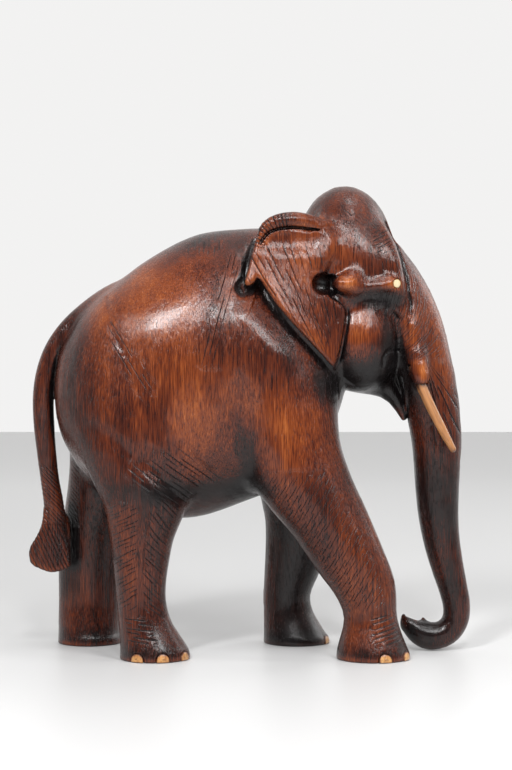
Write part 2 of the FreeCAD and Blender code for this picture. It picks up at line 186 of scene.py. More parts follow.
# Legs: height, middle x, middle y (from the middle plane), half x, half y.
LEGS = {
    "right_rear": (-1, [(-6, -80, 46, 29, 28.4), (4, -80, 46, 29.2, 28.4), (10, -81, 46, 28, 27.2),
                        (20, -84.5, 46, 25, 24.2), (32, -88.5, 46, 22, 21.6), (46, -91, 46, 20.6, 20.4),
                        (62, -92, 46, 21.2, 21), (80, -91.6, 46, 23.4, 22.6), (100, -91, 46, 27, 25),
                        (125, -88, 45, 34, 29), (150, -91, 43, 42, 32), (180, -95, 38, 46, 34),
                        (210, -98, 32, 45, 34), (240, -99, 26, 36, 28), (262, -100, 22, 20, 16)]),
    "left_rear": (1, [(-6, -142.5, 46, 28.4, 28), (4, -142.5, 46, 28.4, 28), (10, -143.6, 46, 27, 26.4),
                      (20, -143.6, 46, 27.2, 24.6), (32, -143.4, 46, 27.2, 22.6), (46, -143.2, 46, 27.4, 21.8),
                      (62, -143, 46, 27.8, 22), (80, -142, 46, 28.4, 23), (100, -139.4, 46, 29, 25),
                      (125, -133, 45, 31, 28), (150, -124, 43, 37, 31), (180, -117, 38, 42, 33),
                      (210, -111, 32, 42, 34), (240, -106, 26, 34, 28), (262, -104, 22, 20, 16)]),
    "right_front": (-1, [(-6, 102, 46, 30.6, 29.2), (4, 102, 46, 30.6, 29.2), (10, 101.2, 46, 29, 27.8),
                         (20, 100.6, 46, 25.6, 25), (30, 100.2, 46, 22.8, 22.4), (40, 99, 46, 22.6, 21.8),
                         (54, 95.4, 46, 26, 22.6), (70, 88, 46, 30.6, 24.4), (86, 79.5, 46, 33, 26),
                         (104, 69.5, 45, 35.6, 27.6), (126, 55.5, 43, 40.4, 30), (150, 41.5, 41, 43.5, 32),
                         (180, 33, 37, 41.5, 33.5), (212, 32, 32, 37, 33), (242, 32, 25, 30, 27),
                         (264, 32, 20, 16, 14)]),
    "left_front": (1, [(-6, 40, 46, 29, 28.6), (4, 40, 46, 29, 28.6), (10, 38, 46, 27, 26.8),
                       (20, 35, 46, 24, 23.6), (30, 32.4, 46, 21.6, 21.4), (42, 31.6, 46, 21, 20.8),
                       (56, 34.6, 46, 23.4, 22), (72, 38.6, 46, 26.6, 23.6), (90, 43, 46, 30.4, 25.6),
                       (110, 46, 45, 34, 28), (130, 46, 43, 38, 30), (154, 43, 41, 40.5, 32),
                       (182, 37, 37, 40, 33.5), (212, 34, 32, 37, 33), (242, 34, 25, 30, 27),
                       (264, 34, 20, 16, 14)]),
}
LEG_TABLES = {}
for name, (side, rows) in LEGS.items():
    t = spline(rows, 12)
    t[:, 2] *= side
    LEG_TABLES[name] = t

# Proboscis: x, z, half thickness, half width.
TRUNK = spline([(100, 322, 38, 33), (114, 306, 36.5, 31), (126, 289, 34, 29.5), (136, 271, 31, 27.5),
                (144.5, 250, 27.6, 25.4), (151.5, 229, 25, 23.6), (157, 203, 23, 21.8),
                (159.6, 180, 21.4, 20.6), (160, 160, 20.0, 19.4), (160.2, 138, 18.7, 18.2),
                (161.2, 116, 17.2, 16.9), (164, 94, 15.6, 15.4), (168.4, 74, 14.1, 13.9),
                (173.6, 54, 12.5, 12.4), (176.6, 40, 11.8, 11.6), (176.2, 27.5, 11.4, 11.2),
                (170.5, 17.6, 11.4, 11.1), (161.5, 12.8, 11.6, 11.0), (151.5, 12.6, 11.8, 10.6),
                (142.6, 16.4, 9.8, 9.2), (135.6, 22.6, 7.0, 7.4)], 5)

# Tail: x, y, z, radius.
TAIL = spline([(-100, 0, 302, 11), (-116, 0, 303.5, 11), (-136, 0, 292.6, 10.4), (-153.4, 0, 278, 10),
               (-166.6, 0, 261, 9.6), (-174.6, 0, 242, 9.4), (-178.4, 0, 221, 9.2), (-178.4, 1, 198, 9.0),
               (-176.4, 2, 172, 8.4), (-173.6, 3, 148, 8.0), (-170.4, 5, 126, 8.6), (-169.4, 7, 110, 9.2),
               (-171.6, 7, 97, 9.6), (-173.6, 7, 86, 9.6), (-173.6, 7, 79, 8.0)], 4)

TUFT = spline([(-178.6, 121), (-180.4, 108), (-184.4, 98.5), (-190.0, 88.6), (-190.8, 80.0), (-188.2, 73.6),
               (-180.6, 69.6), (-172.0, 67.0), (-163.6, 68.2), (-157.4, 70.8), (-156.2, 71.6), (-156.2, 73.4),
               (-157.0, 84), (-159.4, 97), (-161.6, 108), (-163, 121)], 4)[:, :2]
WEB = spline([(-166, 122), (-161.4, 116), (-158, 110), (-157, 100), (-158, 88), (-162, 82), (-168, 88),
              (-169, 104)], 3)[:, :2]

# Ear: outline seen from the side (x, z).
EAR_EDGE = spline([(44.5, 370.6), (36, 371.2), (23.5, 368.8), (14.2, 363.8), (7.2, 357.4), (2.4, 348.5),
                   (-1.0, 336.5), (-3.4, 325.5), (-5.6, 317.0), (-5.4, 311.6), (-1.6, 309.6), (3.0, 312.4),
                   (7.4, 314.6), (20.8, 295.2), (35.6, 277.8), (49.4, 263.6), (62, 249.6), (68.6, 243.4),
                   (71.6, 249), (74.4, 259), (77.6, 275), (79.0, 289), (77.6, 293.6), (73, 297.4),
                   (66, 302), (62, 312), (62, 330), (66, 346), (60, 362), (54, 369)], 5)[:, :2]
LIP_LINE = spline([(8.0, 345.4), (11.0, 350.2), (16.7, 355), (25.8, 357.6), (35.7, 358.5), (48.9, 357.7),
                   (57.9, 357.5), (63, 361.4)], 6)
LIP = spline([(2.2, 338, 1.6), (5.4, 347, 3.6), (10.2, 355.2, 4.8), (17, 361, 5.8), (26, 364.2, 6.4),
              (36, 365.4, 6.2), (46, 365.0, 5.4), (54, 363.6, 3.9), (61, 362.6, 1.8)], 5)
HEM = spline([(-10, 308), (-3, 306.5), (5.6, 310), (18.8, 291.6), (33.6, 274.2), (47.2, 260.6), (59.8, 246.8),
              (68, 238.5), (73, 234)], 5)
# Where the ear's outer face lies: x, z, distance from the middle plane.
_E = np.array([(-5, 312, 69), (0, 335, 67.5), (5, 350, 65), (20, 366, 60), (35, 370, 57), (52, 366, 53.5),
               (20, 295, 71.5), (40, 270, 69), (60, 250, 59.5), (68, 243, 54), (78, 260, 50), (78, 275, 49.5),
               (78, 295, 49.3), (60, 320, 52), (40, 330, 57), (20, 330, 63.5), (62, 350, 49.5),
               (40, 300, 63), (60, 280, 56.5)], float)


def _basis(x, z):
    u, w = (x - 35.0) / 40.0, (z - 305.0) / 60.0
    return np.stack([np.ones_like(u), u, w, u * u, u * w, w * w, u * u * w, u * w * w], -1)


_EK = np.linalg.lstsq(_basis(_E[:, 0], _E[:, 1]), _E[:, 2], rcond=None)[0]


def ear_face(x, z):
    """How far out the ear's outer face lies."""
    x = np.clip(x, -12, 84)
    z = np.clip(z, 232, 376)
    return (_basis(x.astype(float), z.astype(float)) @ _EK).astype(F)


def polygon(P2, edge):
    """Signed distance to a closed outline in a plane, negative inside."""
    n = len(P2)
    d = np.full(n, 1e9, F)
    inside = np.zeros(n, bool)
    x, z = P2[:, 0], P2[:, 1]
    for (ax, az), (bx, bz) in zip(edge, np.roll(edge, -1, 0)):
        ex, ez = bx - ax, bz - az
        L = ex * ex + ez * ez
        if L < 1e-9:
            continue
        wx, wz = x - ax, z - az
        t = np.clip((wx * ex + wz * ez) / L, 0, 1)
        dx, dz = wx - ex * t, wz - ez * t
        d = np.minimum(d, dx * dx + dz * dz)
        if abs(ez) > 1e-9:
            inside ^= ((az > z) != (bz > z)) & (x < ex * (z - az) / ez + ax)
    d = np.sqrt(d)
    return np.where(inside, -d, d).astype(F)


def near_curve(P2, curve):
    """Distance to an open curve in a plane, and how far along it, in mm."""
    n = len(P2)
    best = np.full(n, 1e9, F)
    along = np.zeros(n, F)
    run = 0.0
    x, z = P2[:, 0], P2[:, 1]
    for (ax, az), (bx, bz) in zip(curve[:-1], curve[1:]):
        ex, ez = bx - ax, bz - az
        L = max(ex * ex + ez * ez, 1e-9)
        wx, wz = x - ax, z - az
        t = np.clip((wx * ex + wz * ez) / L, 0, 1)
        dx, dz = wx - ex * t, wz - ez * t
        dd = dx * dx + dz * dz
        m = dd < best
        best[m] = dd[m]
        along[m] = run + t[m] * math.sqrt(L)
        run += math.sqrt(L)
    return np.sqrt(best), along


def bump(v, lo, hi, soft):
    """1 between lo and hi, falling to 0 over soft at each end."""
    a = np.clip((v - lo) / soft + 0.5, 0, 1)
    b = np.clip((hi - v) / soft + 0.5, 0, 1)
    return (a * a * (3 - 2 * a)) * (b * b * (3 - 2 * b))


# Cutting lines: each kind is a family of nearly parallel strokes.  For every
# point it gives u (a stroke lies on each whole number), v (along the stroke,
# in stroke lengths), the mask, the share of its length that is cut, the
# half width in strokes, and the depth of the cut in mm.
TRUNK_MID = TRUNK[:, :2]


def strokes(P):
    x, y, z = P[:, 0].astype(float), P[:, 1].astype(float), P[:, 2].astype(float)
    ay = np.abs(y)
    n = len(P)
    U, W, M = np.zeros(n), np.zeros(n), np.zeros(n)
    D, H, C = np.ones(n), np.full(n, 0.1), np.zeros(n)

    def put(u, v, m, duty, half, cut):
        k = m > M
        U[k], W[k], M[k] = u[k], v[k], m[k]
        D[k] = duty
        H[k] = half if np.isscalar(half) else half[k]
        C[k] = cut

    wob = 0.10 * np.sin(x * 0.071 + z * 0.053 + 1.3) + 0.06 * np.sin(z * 0.13 - x * 0.09) + 0.03 * np.sin(z * 0.37 + x * 0.29)
    # ear: long furrows that close in on the tip
    i = (x > -12) & (x < 84) & (z > 236) & (z < 376) & (ay > 40)
    if i.any():
        flat = np.full(n, 9.0)
        flat[i] = polygon(P[i][:, [0, 2]], EAR_EDGE)
        face = np.zeros(n)
        face[i] = ear_face(x[i], z[i])
        on = bump(ay - face, -7, 5, 2.0) * i
        a = np.arctan2(x - 86.0, z - 196.0)
        r = np.hypot(x - 86.0, z - 196.0)
        dl = np.full(n, 0.0)
        la = np.full(n, 0.0)
        dl[i], la[i] = near_curve(P[i][:, [0, 2]], LIP_LINE)
        low = bump(z - (352 - 0.10 * np.abs(x - 30)), -200, -8, 17)
        hole = 1 - bump(np.hypot((x - 61) / 1.25, z - 312), -1, 13.5, 2.5)
        front = bump(x - 0.28 * (z - 250), -80, 62, 6)
        m = on * bump(flat, -60, -1.4, 1.2) * low * hole * front
        put(a / 0.0365 + wob, r / 64.0, m, 0.80, 0.075, 0.42)
        # short nicks across the rolled lip
        dl2, la2 = np.full(n, 99.0), np.zeros(n)
        dl2[i], la2[i] = near_curve(P[i][:, [0, 2]], LIP[:, :2])
        m = bump(ay - face, -9, 8, 2.0) * i * bump(dl2, -1, 6.2, 2.0) * bump(la2, 2, 44, 12)
        put(la2 / 3.3 + wob, la2 * 0, m, 1.0, 0.12, 0.4)

    # proboscis: hair-like strokes up its side, then a few long ones below
    i = np.nonzero((x > 100) & (x < 200) & (ay < 42) & (z > 60) & (z < 345))[0]
    if len(i):
        dl, la = near_curve(P[i][:, [0, 2]], TRUNK_MID)
        full = np.interp(la, *TRUNK_RUN)
        cx, cz = np.interp(la, TRUNK_S, TRUNK_MID[:, 0]), np.interp(la, TRUNK_S, TRUNK_MID[:, 1])
        tx = np.interp(la, TRUNK_S, np.gradient(TRUNK_MID[:, 0], TRUNK_S))
        tz = np.interp(la, TRUNK_S, np.gradient(TRUNK_MID[:, 1], TRUNK_S))
        side = ((x[i] - cx) * -tz + (z[i] - cz) * tx)      # towards the front edge
        frac = side / full
        w = wob[i]
        lean = np.interp(z[i], [255, 330], [0.25, 1.15])
        m = np.zeros(n)
        m[i] = bump(z[i], 252, 336, 12) * bump(frac, -0.95, 0.72, 0.3) * bump(ay[i], 7, 60, 4)
        u = np.zeros(n); u[i] = (la - side * -lean) / 2.3 + w
        v = np.zeros(n); v[i] = side / 26.0
        put(u, v, m, 0.76, 0.11, 0.10)
        ang = np.zeros(n); rr = np.zeros(n)
        ang[i] = np.degrees(np.arctan2(252.0 - z[i], x[i] - 146.0))
        rr[i] = np.hypot(x[i] - 146.0, z[i] - 252.0)
        m = np.zeros(n)
        m[i] = bump(ang[i], 46, 82, 5) * bump(rr[i], 5, 74, 12) * bump(ay[i], 8, 60, 4) * bump(frac, -1.2, 0.9, 0.2)
        put(ang / 6.6 + wob * 0.5, rr / 60.0, m, 0.86, 0.10, 0.75)

    # tail: slanting cuts on both faces, a fan of them on the tuft
    i = np.nonzero((x < -150) & (z < 168) & (z > 64) & (ay < 30))[0]
    if len(i):
        cx = np.interp(z[i], [70, 85, 97, 110, 126, 148, 172], [-171, -172, -170.6, -169.4, -170.4, -173.6, -176.4])
        m = np.zeros(n)
        m[i] = bump(z[i], 108, 158, 8)
        u = np.zeros(n); u[i] = (z[i] + 1.15 * (x[i] - cx)) / 4.3
        put(u, z * 0, m, 1.0, 0.11, 0.6)
        ang = np.degrees(np.arctan2(128.0 - z, x + 178.0))
        m = np.zeros(n)
        m[i] = bump(z[i], 68, 108, 6) * bump(ang[i], 40, 112, 8) * (y[i] < 6)
        put((0.90 * x + 0.43 * z) / 3.3, z * 0, m, 1.0, 0.11, 0.45)

    # flank: folds in front of the thigh
    u = (0.6 * x + 0.8 * z)
    v = (0.8 * x - 0.6 * z)
    m = bump(u, 63, 106, 6) * bump(v, -176 + (u - 64) * 0.55, -124 + (u - 64) * 0.42, 12) * bump(ay, 48, 99, 6) * (z > 128)
    put(u / 4.1 + wob, v / 52.0, m, 0.84, 0.095, 0.34)
    # neck, behind the ear: long fine strokes
    u = 0.969 * x - 0.245 * z
    m = bump(u, -103, -86, 4) * bump(z, 246, 336, 14) * bump(ay, 40, 99, 6)
    put(u / 4.4 + wob * 0.5, z / 70.0, m, 0.72, 0.07, 0.10)
    # rump: a fan down from the hip
    u = 0.85 * x + 0.53 * z
    v = 0.53 * x - 0.85 * z
    m = bump(u, 39, 54, 4) * bump(v, -302, -236, 14) * bump(ay, 35, 99, 6)
    put(u / 4.4 + wob * 0.5, v / 52.0, m, 0.72, 0.08, 0.06)
    # back: upright nicks just below the ridge
    m = bump(x, -54, -22, 6) * bump(z, 338, 357, 6) * bump(ay, 8, 50, 5)
    put(x / 4.2 + wob, z / 14.0, m, 0.75, 0.10, 0.35)
    # forehead nicks
    m = bump(x, 99, 118, 5) * bump(z, 338, 362, 5) * bump(ay, 12, 60, 4)
    put((z - 0.5 * x) / 3.6 + wob, x / 14.0, m, 0.78, 0.09, 0.16)
    m = bump(x, 78, 94, 5) * bump(z, 366, 384, 5) * bump(ay, 6, 60, 4)
    put((z + 0.9 * x) / 4.2 + wob, x / 12.0, m, 0.6, 0.10, 0.35)

    # legs, on their outer faces
    for name, (side, rows) in LEGS.items():
        t = LEG_TABLES[name]
        cx = np.interp(z, t[:, 0], t[:, 1])
        cy = np.interp(z, t[:, 0], t[:, 2])
        rx = np.interp(z, t[:, 0], t[:, 3])
        ry = np.interp(z, t[:, 0], t[:, 4])
        lx = (x - cx) / rx
        out = bump((y - cy) * side / ry, 0.0, 3, 0.5)
        near = bump(np.abs(lx), -1, 1.25, 0.2) * (z < 175)
        o = out * near
        if "rear" in name:
            m = o * bump(lx, -0.86, -0.12, 0.2) * bump(z, 44, 128, 10)
            put((z - 0.55 * (x - cx)) / 3.9 + wob * 2, (x - cx) / 30.0, m, 0.8, 0.10, 0.36)
            m = o * bump(lx, 0.2, 0.84, 0.2) * bump(z, 34, 134, 10)
            put((z + 1.05 * (x - cx)) / 4.9 + wob * 2, (x - cx) / 30.0, m, 0.8, 0.10, 0.36)
            m = o * bump(lx, -0.66, 0.24, 0.2) * bump(z, 14.5, 36, 4)
            put((z + 0.12 * x) / 3.6 + wob, x / 30.0, m, 0.85, 0.11, 0.45)
        else:
            ux, uz = x, z
            m = o * bump(lx, -0.86, 0.55, 0.25) * bump(z, 44, 152, 14)
            put((0.87 * ux - 0.50 * uz) / 2.6 + wob * 2, (0.50 * ux + 0.87 * uz) / 22.0, m, 0.72, 0.095, 0.20)
            m = o * bump(lx, 0.0, 0.85, 0.2) * bump(z, 14, 38, 4)
            put((z - 0.25 * x) / 4.0, z * 0, m, 1.0, 0.12, 0.5)
    return U, W, M, D, H, C


def hash1(i, k):
    return np.mod(i * k, 1.0)


def cut_depth(P):
    """How deep the strokes cut at each point, mm."""
    U, W, M, D, H, C = strokes(P)
    i = np.floor(U)
    f = np.mod(U, 1.0) - 0.5 - (hash1(i, 0.754878) - 0.5) * 0.34
    live = np.mod(W + hash1(i, 0.618034), 1.0)
    dash = np.clip((D - live) / 0.08, 0, 1) * np.clip(live / 0.06 + (D >= 1.0), 0, 1)
    dash = np.where(D >= 1.0, 1.0, dash)
    j = np.floor(W + hash1(i, 0.618034))
    dash = dash * np.where(D < 0.7, (hash1(i * 0.3571 + j * 0.7193, 1.0) > 0.34), 1.0)
    line = np.exp(-(f / np.maximum(H, 0.02)) ** 2 * 1.1)
    return (C * np.clip(M, 0, 1) * dash * line * (0.65 + 0.5 * hash1(i, 0.3247))).astype(F)


_seg = np.sqrt(((TRUNK_MID[1:] - TRUNK_MID[:-1]) ** 2).sum(1))
TRUNK_S = np.concatenate([[0], np.cumsum(_seg)])
TRUNK_RUN = (TRUNK_S, TRUNK[:, 2])

# Left side: where the tusk leaves its socket and the way it points, and the
# middle of the eye and the way it faces.
TUSK_AT = np.array([143.6, 28.5, 228.0], F)
TUSK_OUT = (np.array([0.436, 0.100, -0.894]) / math.sqrt(0.436 ** 2 + 0.1 ** 2 + 0.894 ** 2)).astype(F)
EYE_AT = np.array([122.4, 40.9, 313.0], F)
EYE_OUT = (np.array([0.41, 0.905, -0.08]) / math.sqrt(0.41 ** 2 + 0.905 ** 2 + 0.08 ** 2)).astype(F)


def foot_at(leg, angle, h):
    """A point of the foot's surface at height h, and the way out of it."""
    side, t = LEGS[leg][0], LEG_TABLES[leg]
    cx, cy, rx, ry = (np.interp(h, t[:, 0], t[:, k]) for k in (1, 2, 3, 4))
    gx, gy = np.sin(angle), side * np.cos(angle)
    far = 1.0 / np.sqrt((gx / rx) ** 2 + (gy / ry) ** 2)
    n = np.stack([gx * far / rx ** 2, gy * far / ry ** 2], -1)
    n /= np.linalg.norm(n, axis=-1, keepdims=True)
    return np.stack([cx + gx * far, cy + gy * far, h * np.ones_like(gx)], -1), n, far


NAILS = [(leg, k, math.radians(a)) for leg in ("right_rear", "left_rear", "right_front", "left_front")
         for k, a in enumerate((-28, 17, 63) if "rear" in leg else (17, 64, 110), 1)]
NAIL_SPOTS = []
for leg, k, a in NAILS:
    p, n, far = foot_at(leg, np.array(a), np.array(3.5))
    NAIL_SPOTS.append((p.astype(F), n.astype(F), LEGS[leg][0]))


# Creases cut along curves on both flanks (x, z): width, depth, painted shade that darkens each crease, and the span of
# distance from the middle plane it lies in.
CREASES = [
    (spline([(112, 371), (118, 361), (122.6, 351), (126.8, 337), (130.6, 322), (132.8, 308), (134.4, 297),
             (134.6, 288)], 5), 1.6, 2.0, 0.6, (8, 50)),
    (spline([(79.6, 294), (81.0, 288), (79.8, 275), (76.8, 259), (73.6, 248), (70.6, 242)], 5), 1.4, 1.2, 0.36, (30, 56)),
    (spline([(110.4, 242.5), (110.9, 248.9), (112.2, 253.1), (115.8, 256.8), (119.7, 258.1), (124.6, 257.8)], 5),
     1.3, 1.5, 0.8, (20, 56)),
    (spline([(-123, 306), (-121, 299), (-118, 284), (-112, 268), (-103, 252)], 5), 2.4, 0.6, 0.50, (30, 90)),
    (spline([(-138, 199), (-115, 183), (-94, 167), (-76, 151), (-61, 136)], 5), 7.0, 1.4, 0.26, (30, 90)),
    (spline([(1.6, 216), (2.6, 200), (3.2, 184), (3.4, 168), (1.8, 156), (-2, 147)], 5), 5.5, 1.3, 0.42, (30, 90)),
    (spline([(7.2, 357), (2.8, 348), (-1, 336), (-3.6, 325), (-6.4, 316), (-10, 309), (-8, 304)], 5), 2.6, 2.4, 0.7, (30, 90)),
]


def creases(P):
    """How deep the creases are at each point, and how much painted shade darkens them."""
    P2, ay = P[:, [0, 2]], np.abs(P[:, 1])
    deep, dark = np.zeros(len(P), F), np.zeros(len(P), F)
    for curve, wide, cut, shade_and_colour, (lo, hi) in CREASES:
        m = (ay > lo) & (ay < hi)
        for k in (0, 1):
            m &= (P2[:, k] > curve[:, k].min() - 3 * wide) & (P2[:, k] < curve[:, k].max() + 3 * wide)
        i = np.nonzero(m)[0]
        if len(i):
            r, run = near_curve(P2[i], curve)
            g = np.exp(-(r / wide) ** 2) * np.clip(run / 8 + 0.25, 0, 1)
            deep[i] = np.maximum(deep[i], cut * g)
            # painted shade: the wood is darkened along each crease
            dark[i] = np.maximum(dark[i], shade_and_colour * np.exp(-(r / (wide * 1.25)) ** 2))
    return deep, dark


def field(P, lines=True):
    """Signed distance-like field of the carved block."""
    P = P.astype(F)
    x, y, z = P[:, 0], P[:, 1], P[:, 2]
    d = level(P, 0, TORSO, 1, 2)
    # squarer lower flanks, so that the belly turns under sooner
    i = within(P, (-175, -95, 100), (95, 95, 345))
    Q = P[i]
    box = blob(Q, (-42, 0, 228), (108, 69.5, 90), 3.0)
    d[i] = smin(d[i], box, 8)

    # legs
    for name, table in LEG_TABLES.items():
        i = within(P, (float((table[:, 1] - table[:, 3]).min()) - 30,
                       float((table[:, 2] - table[:, 4]).min()) - 30, None),
                   (float((table[:, 1] + table[:, 3]).max()) + 30,
                    float((table[:, 2] + table[:, 4]).max()) + 30, 300))
        Q = P[i]
        e = level(Q, 2, table, 0, 1)
        k = 5 + 13 * np.clip((Q[:, 2] - 100) / 70, 0, 1)
        d[i] = smin(d[i], e, k)

    ay = np.abs(y)
    S = np.column_stack([x, ay, z]).astype(F)     # folded onto the left side

    # hollow behind each shoulder, in front of each thigh and at the hip
    for side, name in ((-1, "right"), (1, "left")):
        fx = 0.0 if side < 0 else -6.0
        i = within(P, (-60, None, 120), (70, None, 300))
        Q = P[i]
        m = (Q[:, 1] * side) > 20
        i, Q = i[m], Q[m]
        groove = chain(Q, np.array([(-9 + fx, side * 84, 246, 9), (-9 + fx, side * 81.5, 215, 12),
                                    (-9.5 + fx, side * 79, 188, 13.5), (-8.6 + fx, side * 75, 162, 13.5),
                                    (-4 + fx, side * 66, 140, 12.5)], F))
        d[i] = smax(d[i], -groove, 5)
        rx = 0.0 if side < 0 else -38.0
        i = within(P, (-150, None, 110), (0, None, 210))
        Q = P[i]
        m = (Q[:, 1] * side) > 20
        i, Q = i[m], Q[m]
        groove = chain(Q, np.array([(-94 + rx * 0.6, side * 87, 182, 8), (-75 + rx * 0.8, side * 85, 163, 12),
                                    (-58 + rx, side * 79, 146, 13), (-48 + rx, side * 68, 134, 11)], F))
        d[i] = smax(d[i], -groove, 7)
    i = within(S, (-150, 10, 240), (-80, 90, 340))
    groove = chain(S[i], np.array([(-124, 58, 308, 6), (-119, 68, 292, 8), (-116, 76, 276, 7),
                                   (-110, 84, 258, 6)], F))
    d[i] = smax(d[i], -groove, 6)

    # head: dome, brow mask, cheeks, jaw
    i = within(P, (10, -80, 190), (180, 80, 408))
    Q, T = P[i], S[i]
    dome = ellipsoid(Q, (80.4, 0, 342), (41.4, 43.5, 57))
    mask = blob(Q, (88.6, 0, 316), (37.2, 44.5, 46), 3.2)
    head = smin(dome, mask, 8)
    ridge = chain(T, np.array([(100, 16, 366, 5), (109, 24, 356, 6), (115.6, 29.5, 343, 7), (119.4, 32.0, 331, 7.6),
                               (121.4, 32.8, 320, 7.4), (122.8, 32.4, 308, 6.8), (124.8, 31.0, 297, 5.6),
                               (126.6, 29.6, 288, 3.6)], F))
    head = smin(head, ridge, 7)
    # lid ridge that runs forward to the eye
    lid = chain(T, np.array([(88, 40.6, 308.0, 4.0), (97, 40.6, 308.4, 5.4), (107, 40.0, 310.2, 6.2),
                             (115.4, 38.0, 312.6, 6.6), (120.0, 35.9, 313.4, 5.8)], F))
    head = smin(head, lid, 4.5)
    cheek = ellipsoid(T, (92.0, 16, 266), (33.5, 32.0, 44))
    jaw = ellipsoid(Q, (97, 0, 250), (33, 29, 27.6))
    low = smin(cheek, jaw, 8)
    head = smin(head, low, 2.5)
    # crease under the lid
    crease = chain(T, np.array([(80, 51, 300, 4.0), (92, 50.4, 299.4, 7.0), (104, 49.6, 299.0, 8.6),
                                (116, 46.4, 298.0, 8.6), (126, 41, 295, 6.4)], F))
    head = smax(head, -crease, 4)
    # hollow between cheek and proboscis
    crease = chain(T, np.array([(122, 50, 292, 7.0), (122.6, 47, 278, 9.4), (124, 45, 264, 9.4),
                                (126, 42, 252, 7.0)], F))
    head = smax(head, -crease, 6)
    neck = ellipsoid(Q, (50, 0, 304), (44, 50, 62))
    head = smin(head, neck, 10)
    d[i] = smin(d[i], head, 9)

    # lower lip, to a point
    i = within(P, (90, -30, 185), (150, 30, 260))
    Q = P[i] * np.array([1, 0.92, 1], F)
    e = chain(Q, np.array([(100, 0, 240, 18), (107, 0, 232.4, 13), (115.5, 0, 226.2, 9.6),
                           (123.2, 0, 217.6, 6.6), (128.2, 0, 208, 4.4), (131.2, 0, 199.8, 2.4)], F))
    d[i] = smin(d[i], e, 6)

    # proboscis
    i = within(P, (60, -45, -6), (205, 45, 365))
    Q = P[i]
    e = np.full(len(i), 1e3, F)
    for r0, r1 in zip(TRUNK[:-1], TRUNK[1:]):
        w = 0.5 * (r0[2] / r0[3] + r1[2] / r1[3])
        pad = max(r0[2], r1[2]) + 12
        j = np.nonzero((Q[:, 0] > min(r0[0], r1[0]) - pad) & (Q[:, 0] < max(r0[0], r1[0]) + pad)
                       & (Q[:, 2] > min(r0[1], r1[1]) - pad) & (Q[:, 2] < max(r0[1], r1[1]) + pad))[0]
        R = Q[j] * np.array([1, w, 1], F)
        e[j] = np.minimum(e[j], rounded_cone(R, (r0[0], 0, r0[1]), (r1[0], 0, r1[1]), r0[2], r1[2]))
    # the sheath each tusk grows from: a ridge down the side
    T = S[i]
    sheath = chain(T, np.array([(133.6, 21.5, 288, 6.4), (135.8, 23.0, 277, 8.4), (137.6, 23.2, 266, 8.4),
                                (139.4, 24.0, 256, 7.6)], F))
    e = smin(e, sheath, 7)
    sheath = chain(T, np.array([(140.2, 25.2, 252, 7.4), (141.8, 26.8, 244, 8.2), (142.9, 28.0, 236.6, 7.9),
                                (143.2, 28.4, 233.4, 7.3)], F))
    e = smin(e, sheath, 7)
    # nostrils and the two finger points of the tip
    cup = ellipsoid(Q, (141.0, 0, 31.5), (8.2, 5.4, 8.4))
    e = smin(e, chain(Q, np.array([(149.5, 2.5, 20, 4.6), (148.2, 3.0, 26.4, 1.5)], F)), 3)
    e = smin(e, chain(Q, np.array([(134.6, 0, 21, 5.0), (131.8, 0, 28.6, 2.6)], F)), 3)
    e = smax(e, -cup, 2.0)
    # mouth: the lips stand apart below the cheek
    d[i] = smin(d[i], e, 2.6)
    i = within(S, (95, 0, 195), (150, 60, 270))
    T = S[i]
    mouth = chain(T, np.array([(119.5, 40, 243.5, 3.0), (123.5, 33, 242, 4.2), (128.5, 25, 233, 3.8),
                               (132.6, 14, 219, 2.8), (135.2, 6, 206, 1.8), (136, 0, 196, 1.6)], F))
    mouth = np.minimum(mouth, chain(T, np.array([(128.5, 12, 233, 3.6), (132.4, 6, 219, 2.6),
                                                 (135.0, 0, 206, 1.8)], F)))
    fold = chain(T, np.array([(109.6, 44.4, 243.0, 1.0), (110.2, 45.2, 248.9, 1.5), (112.0, 45.4, 253.4, 1.7),
                              (115.8, 44.6, 256.8, 1.7), (120, 42.4, 258.3, 1.6), (124.5, 38.6, 257.6, 1.2)], F))
    d[i] = smax(d[i], -mouth, 1.6)
    d[i] = smax(d[i], -fold, 1.4)

    # tail, squared like the carver left it, with a wedge of a tuft
    i = within(P, (-215, -34, 50), (-80, 48, 325))
    Q = P[i]
    e = chain(Q, TAIL)
    tuft = polygon(Q[:, [0, 2]], TUFT)
    thick = np.abs(Q[:, 1] - 6.5) - (11.5 - 0.05 * (Q[:, 2] - 64))
    tuft = smax(tuft, thick, 3.2)
    e = smin(e, tuft, 3.0)
    web = polygon(Q[:, [0, 2]], WEB)
    web = smax(web, np.abs(Q[:, 1] - 17) - 8, 3)
    e = smin(e, web, 3.0)
    face = -(Q[:, 1] - np.interp(Q[:, 2], [64, 120, 200, 240], [-4.6, -4.6, -7.6, -12]).astype(F))
    e = smax(e, face, 2.0)
    k = 2.5 + 6 * np.clip((Q[:, 2] - 240) / 50, 0, 1)
    d[i] = smin(d[i], e, k)

    # the hollow cut behind the lower edge of each ear, then the ear
    i = within(S, (-30, 14, 215), (110, 95, 388))
    Q = S[i]
    P2 = Q[:, [0, 2]]
    hem, run = near_curve(P2, HEM)
    face = ear_face(Q[:, 0], Q[:, 2])
    sink = np.interp(run, [0, 10, 22, 60, 95, 112], [1.0, 6.5, 8.6, 8.0, 6.0, 3.0]).astype(F)
    cur = d[i] + sink * np.exp(-(hem / 15.0) ** 2) * (Q[:, 1] > 30)
    wide = np.interp(run, [0, 12, 40, 75, 110], [2.8, 3.4, 1.9, 1.5, 1.2]).astype(F)
    trench = np.sqrt(hem ** 2 + (np.maximum(0, face - 10 - Q[:, 1]) * 0.6) ** 2) - wide
    cur = smax(cur, -trench, 5.0)
    flat = polygon(P2, EAR_EDGE)
    out = Q[:, 1] - face
    slab = smax(smax(flat, out, 4.2), face - 11.0 - Q[:, 1], 3.0)
    root = smax(smax(flat + 8.5, out + 4, 4.0), 16 - Q[:, 1], 3.0)
    ear = smin(slab, root, 5.0)
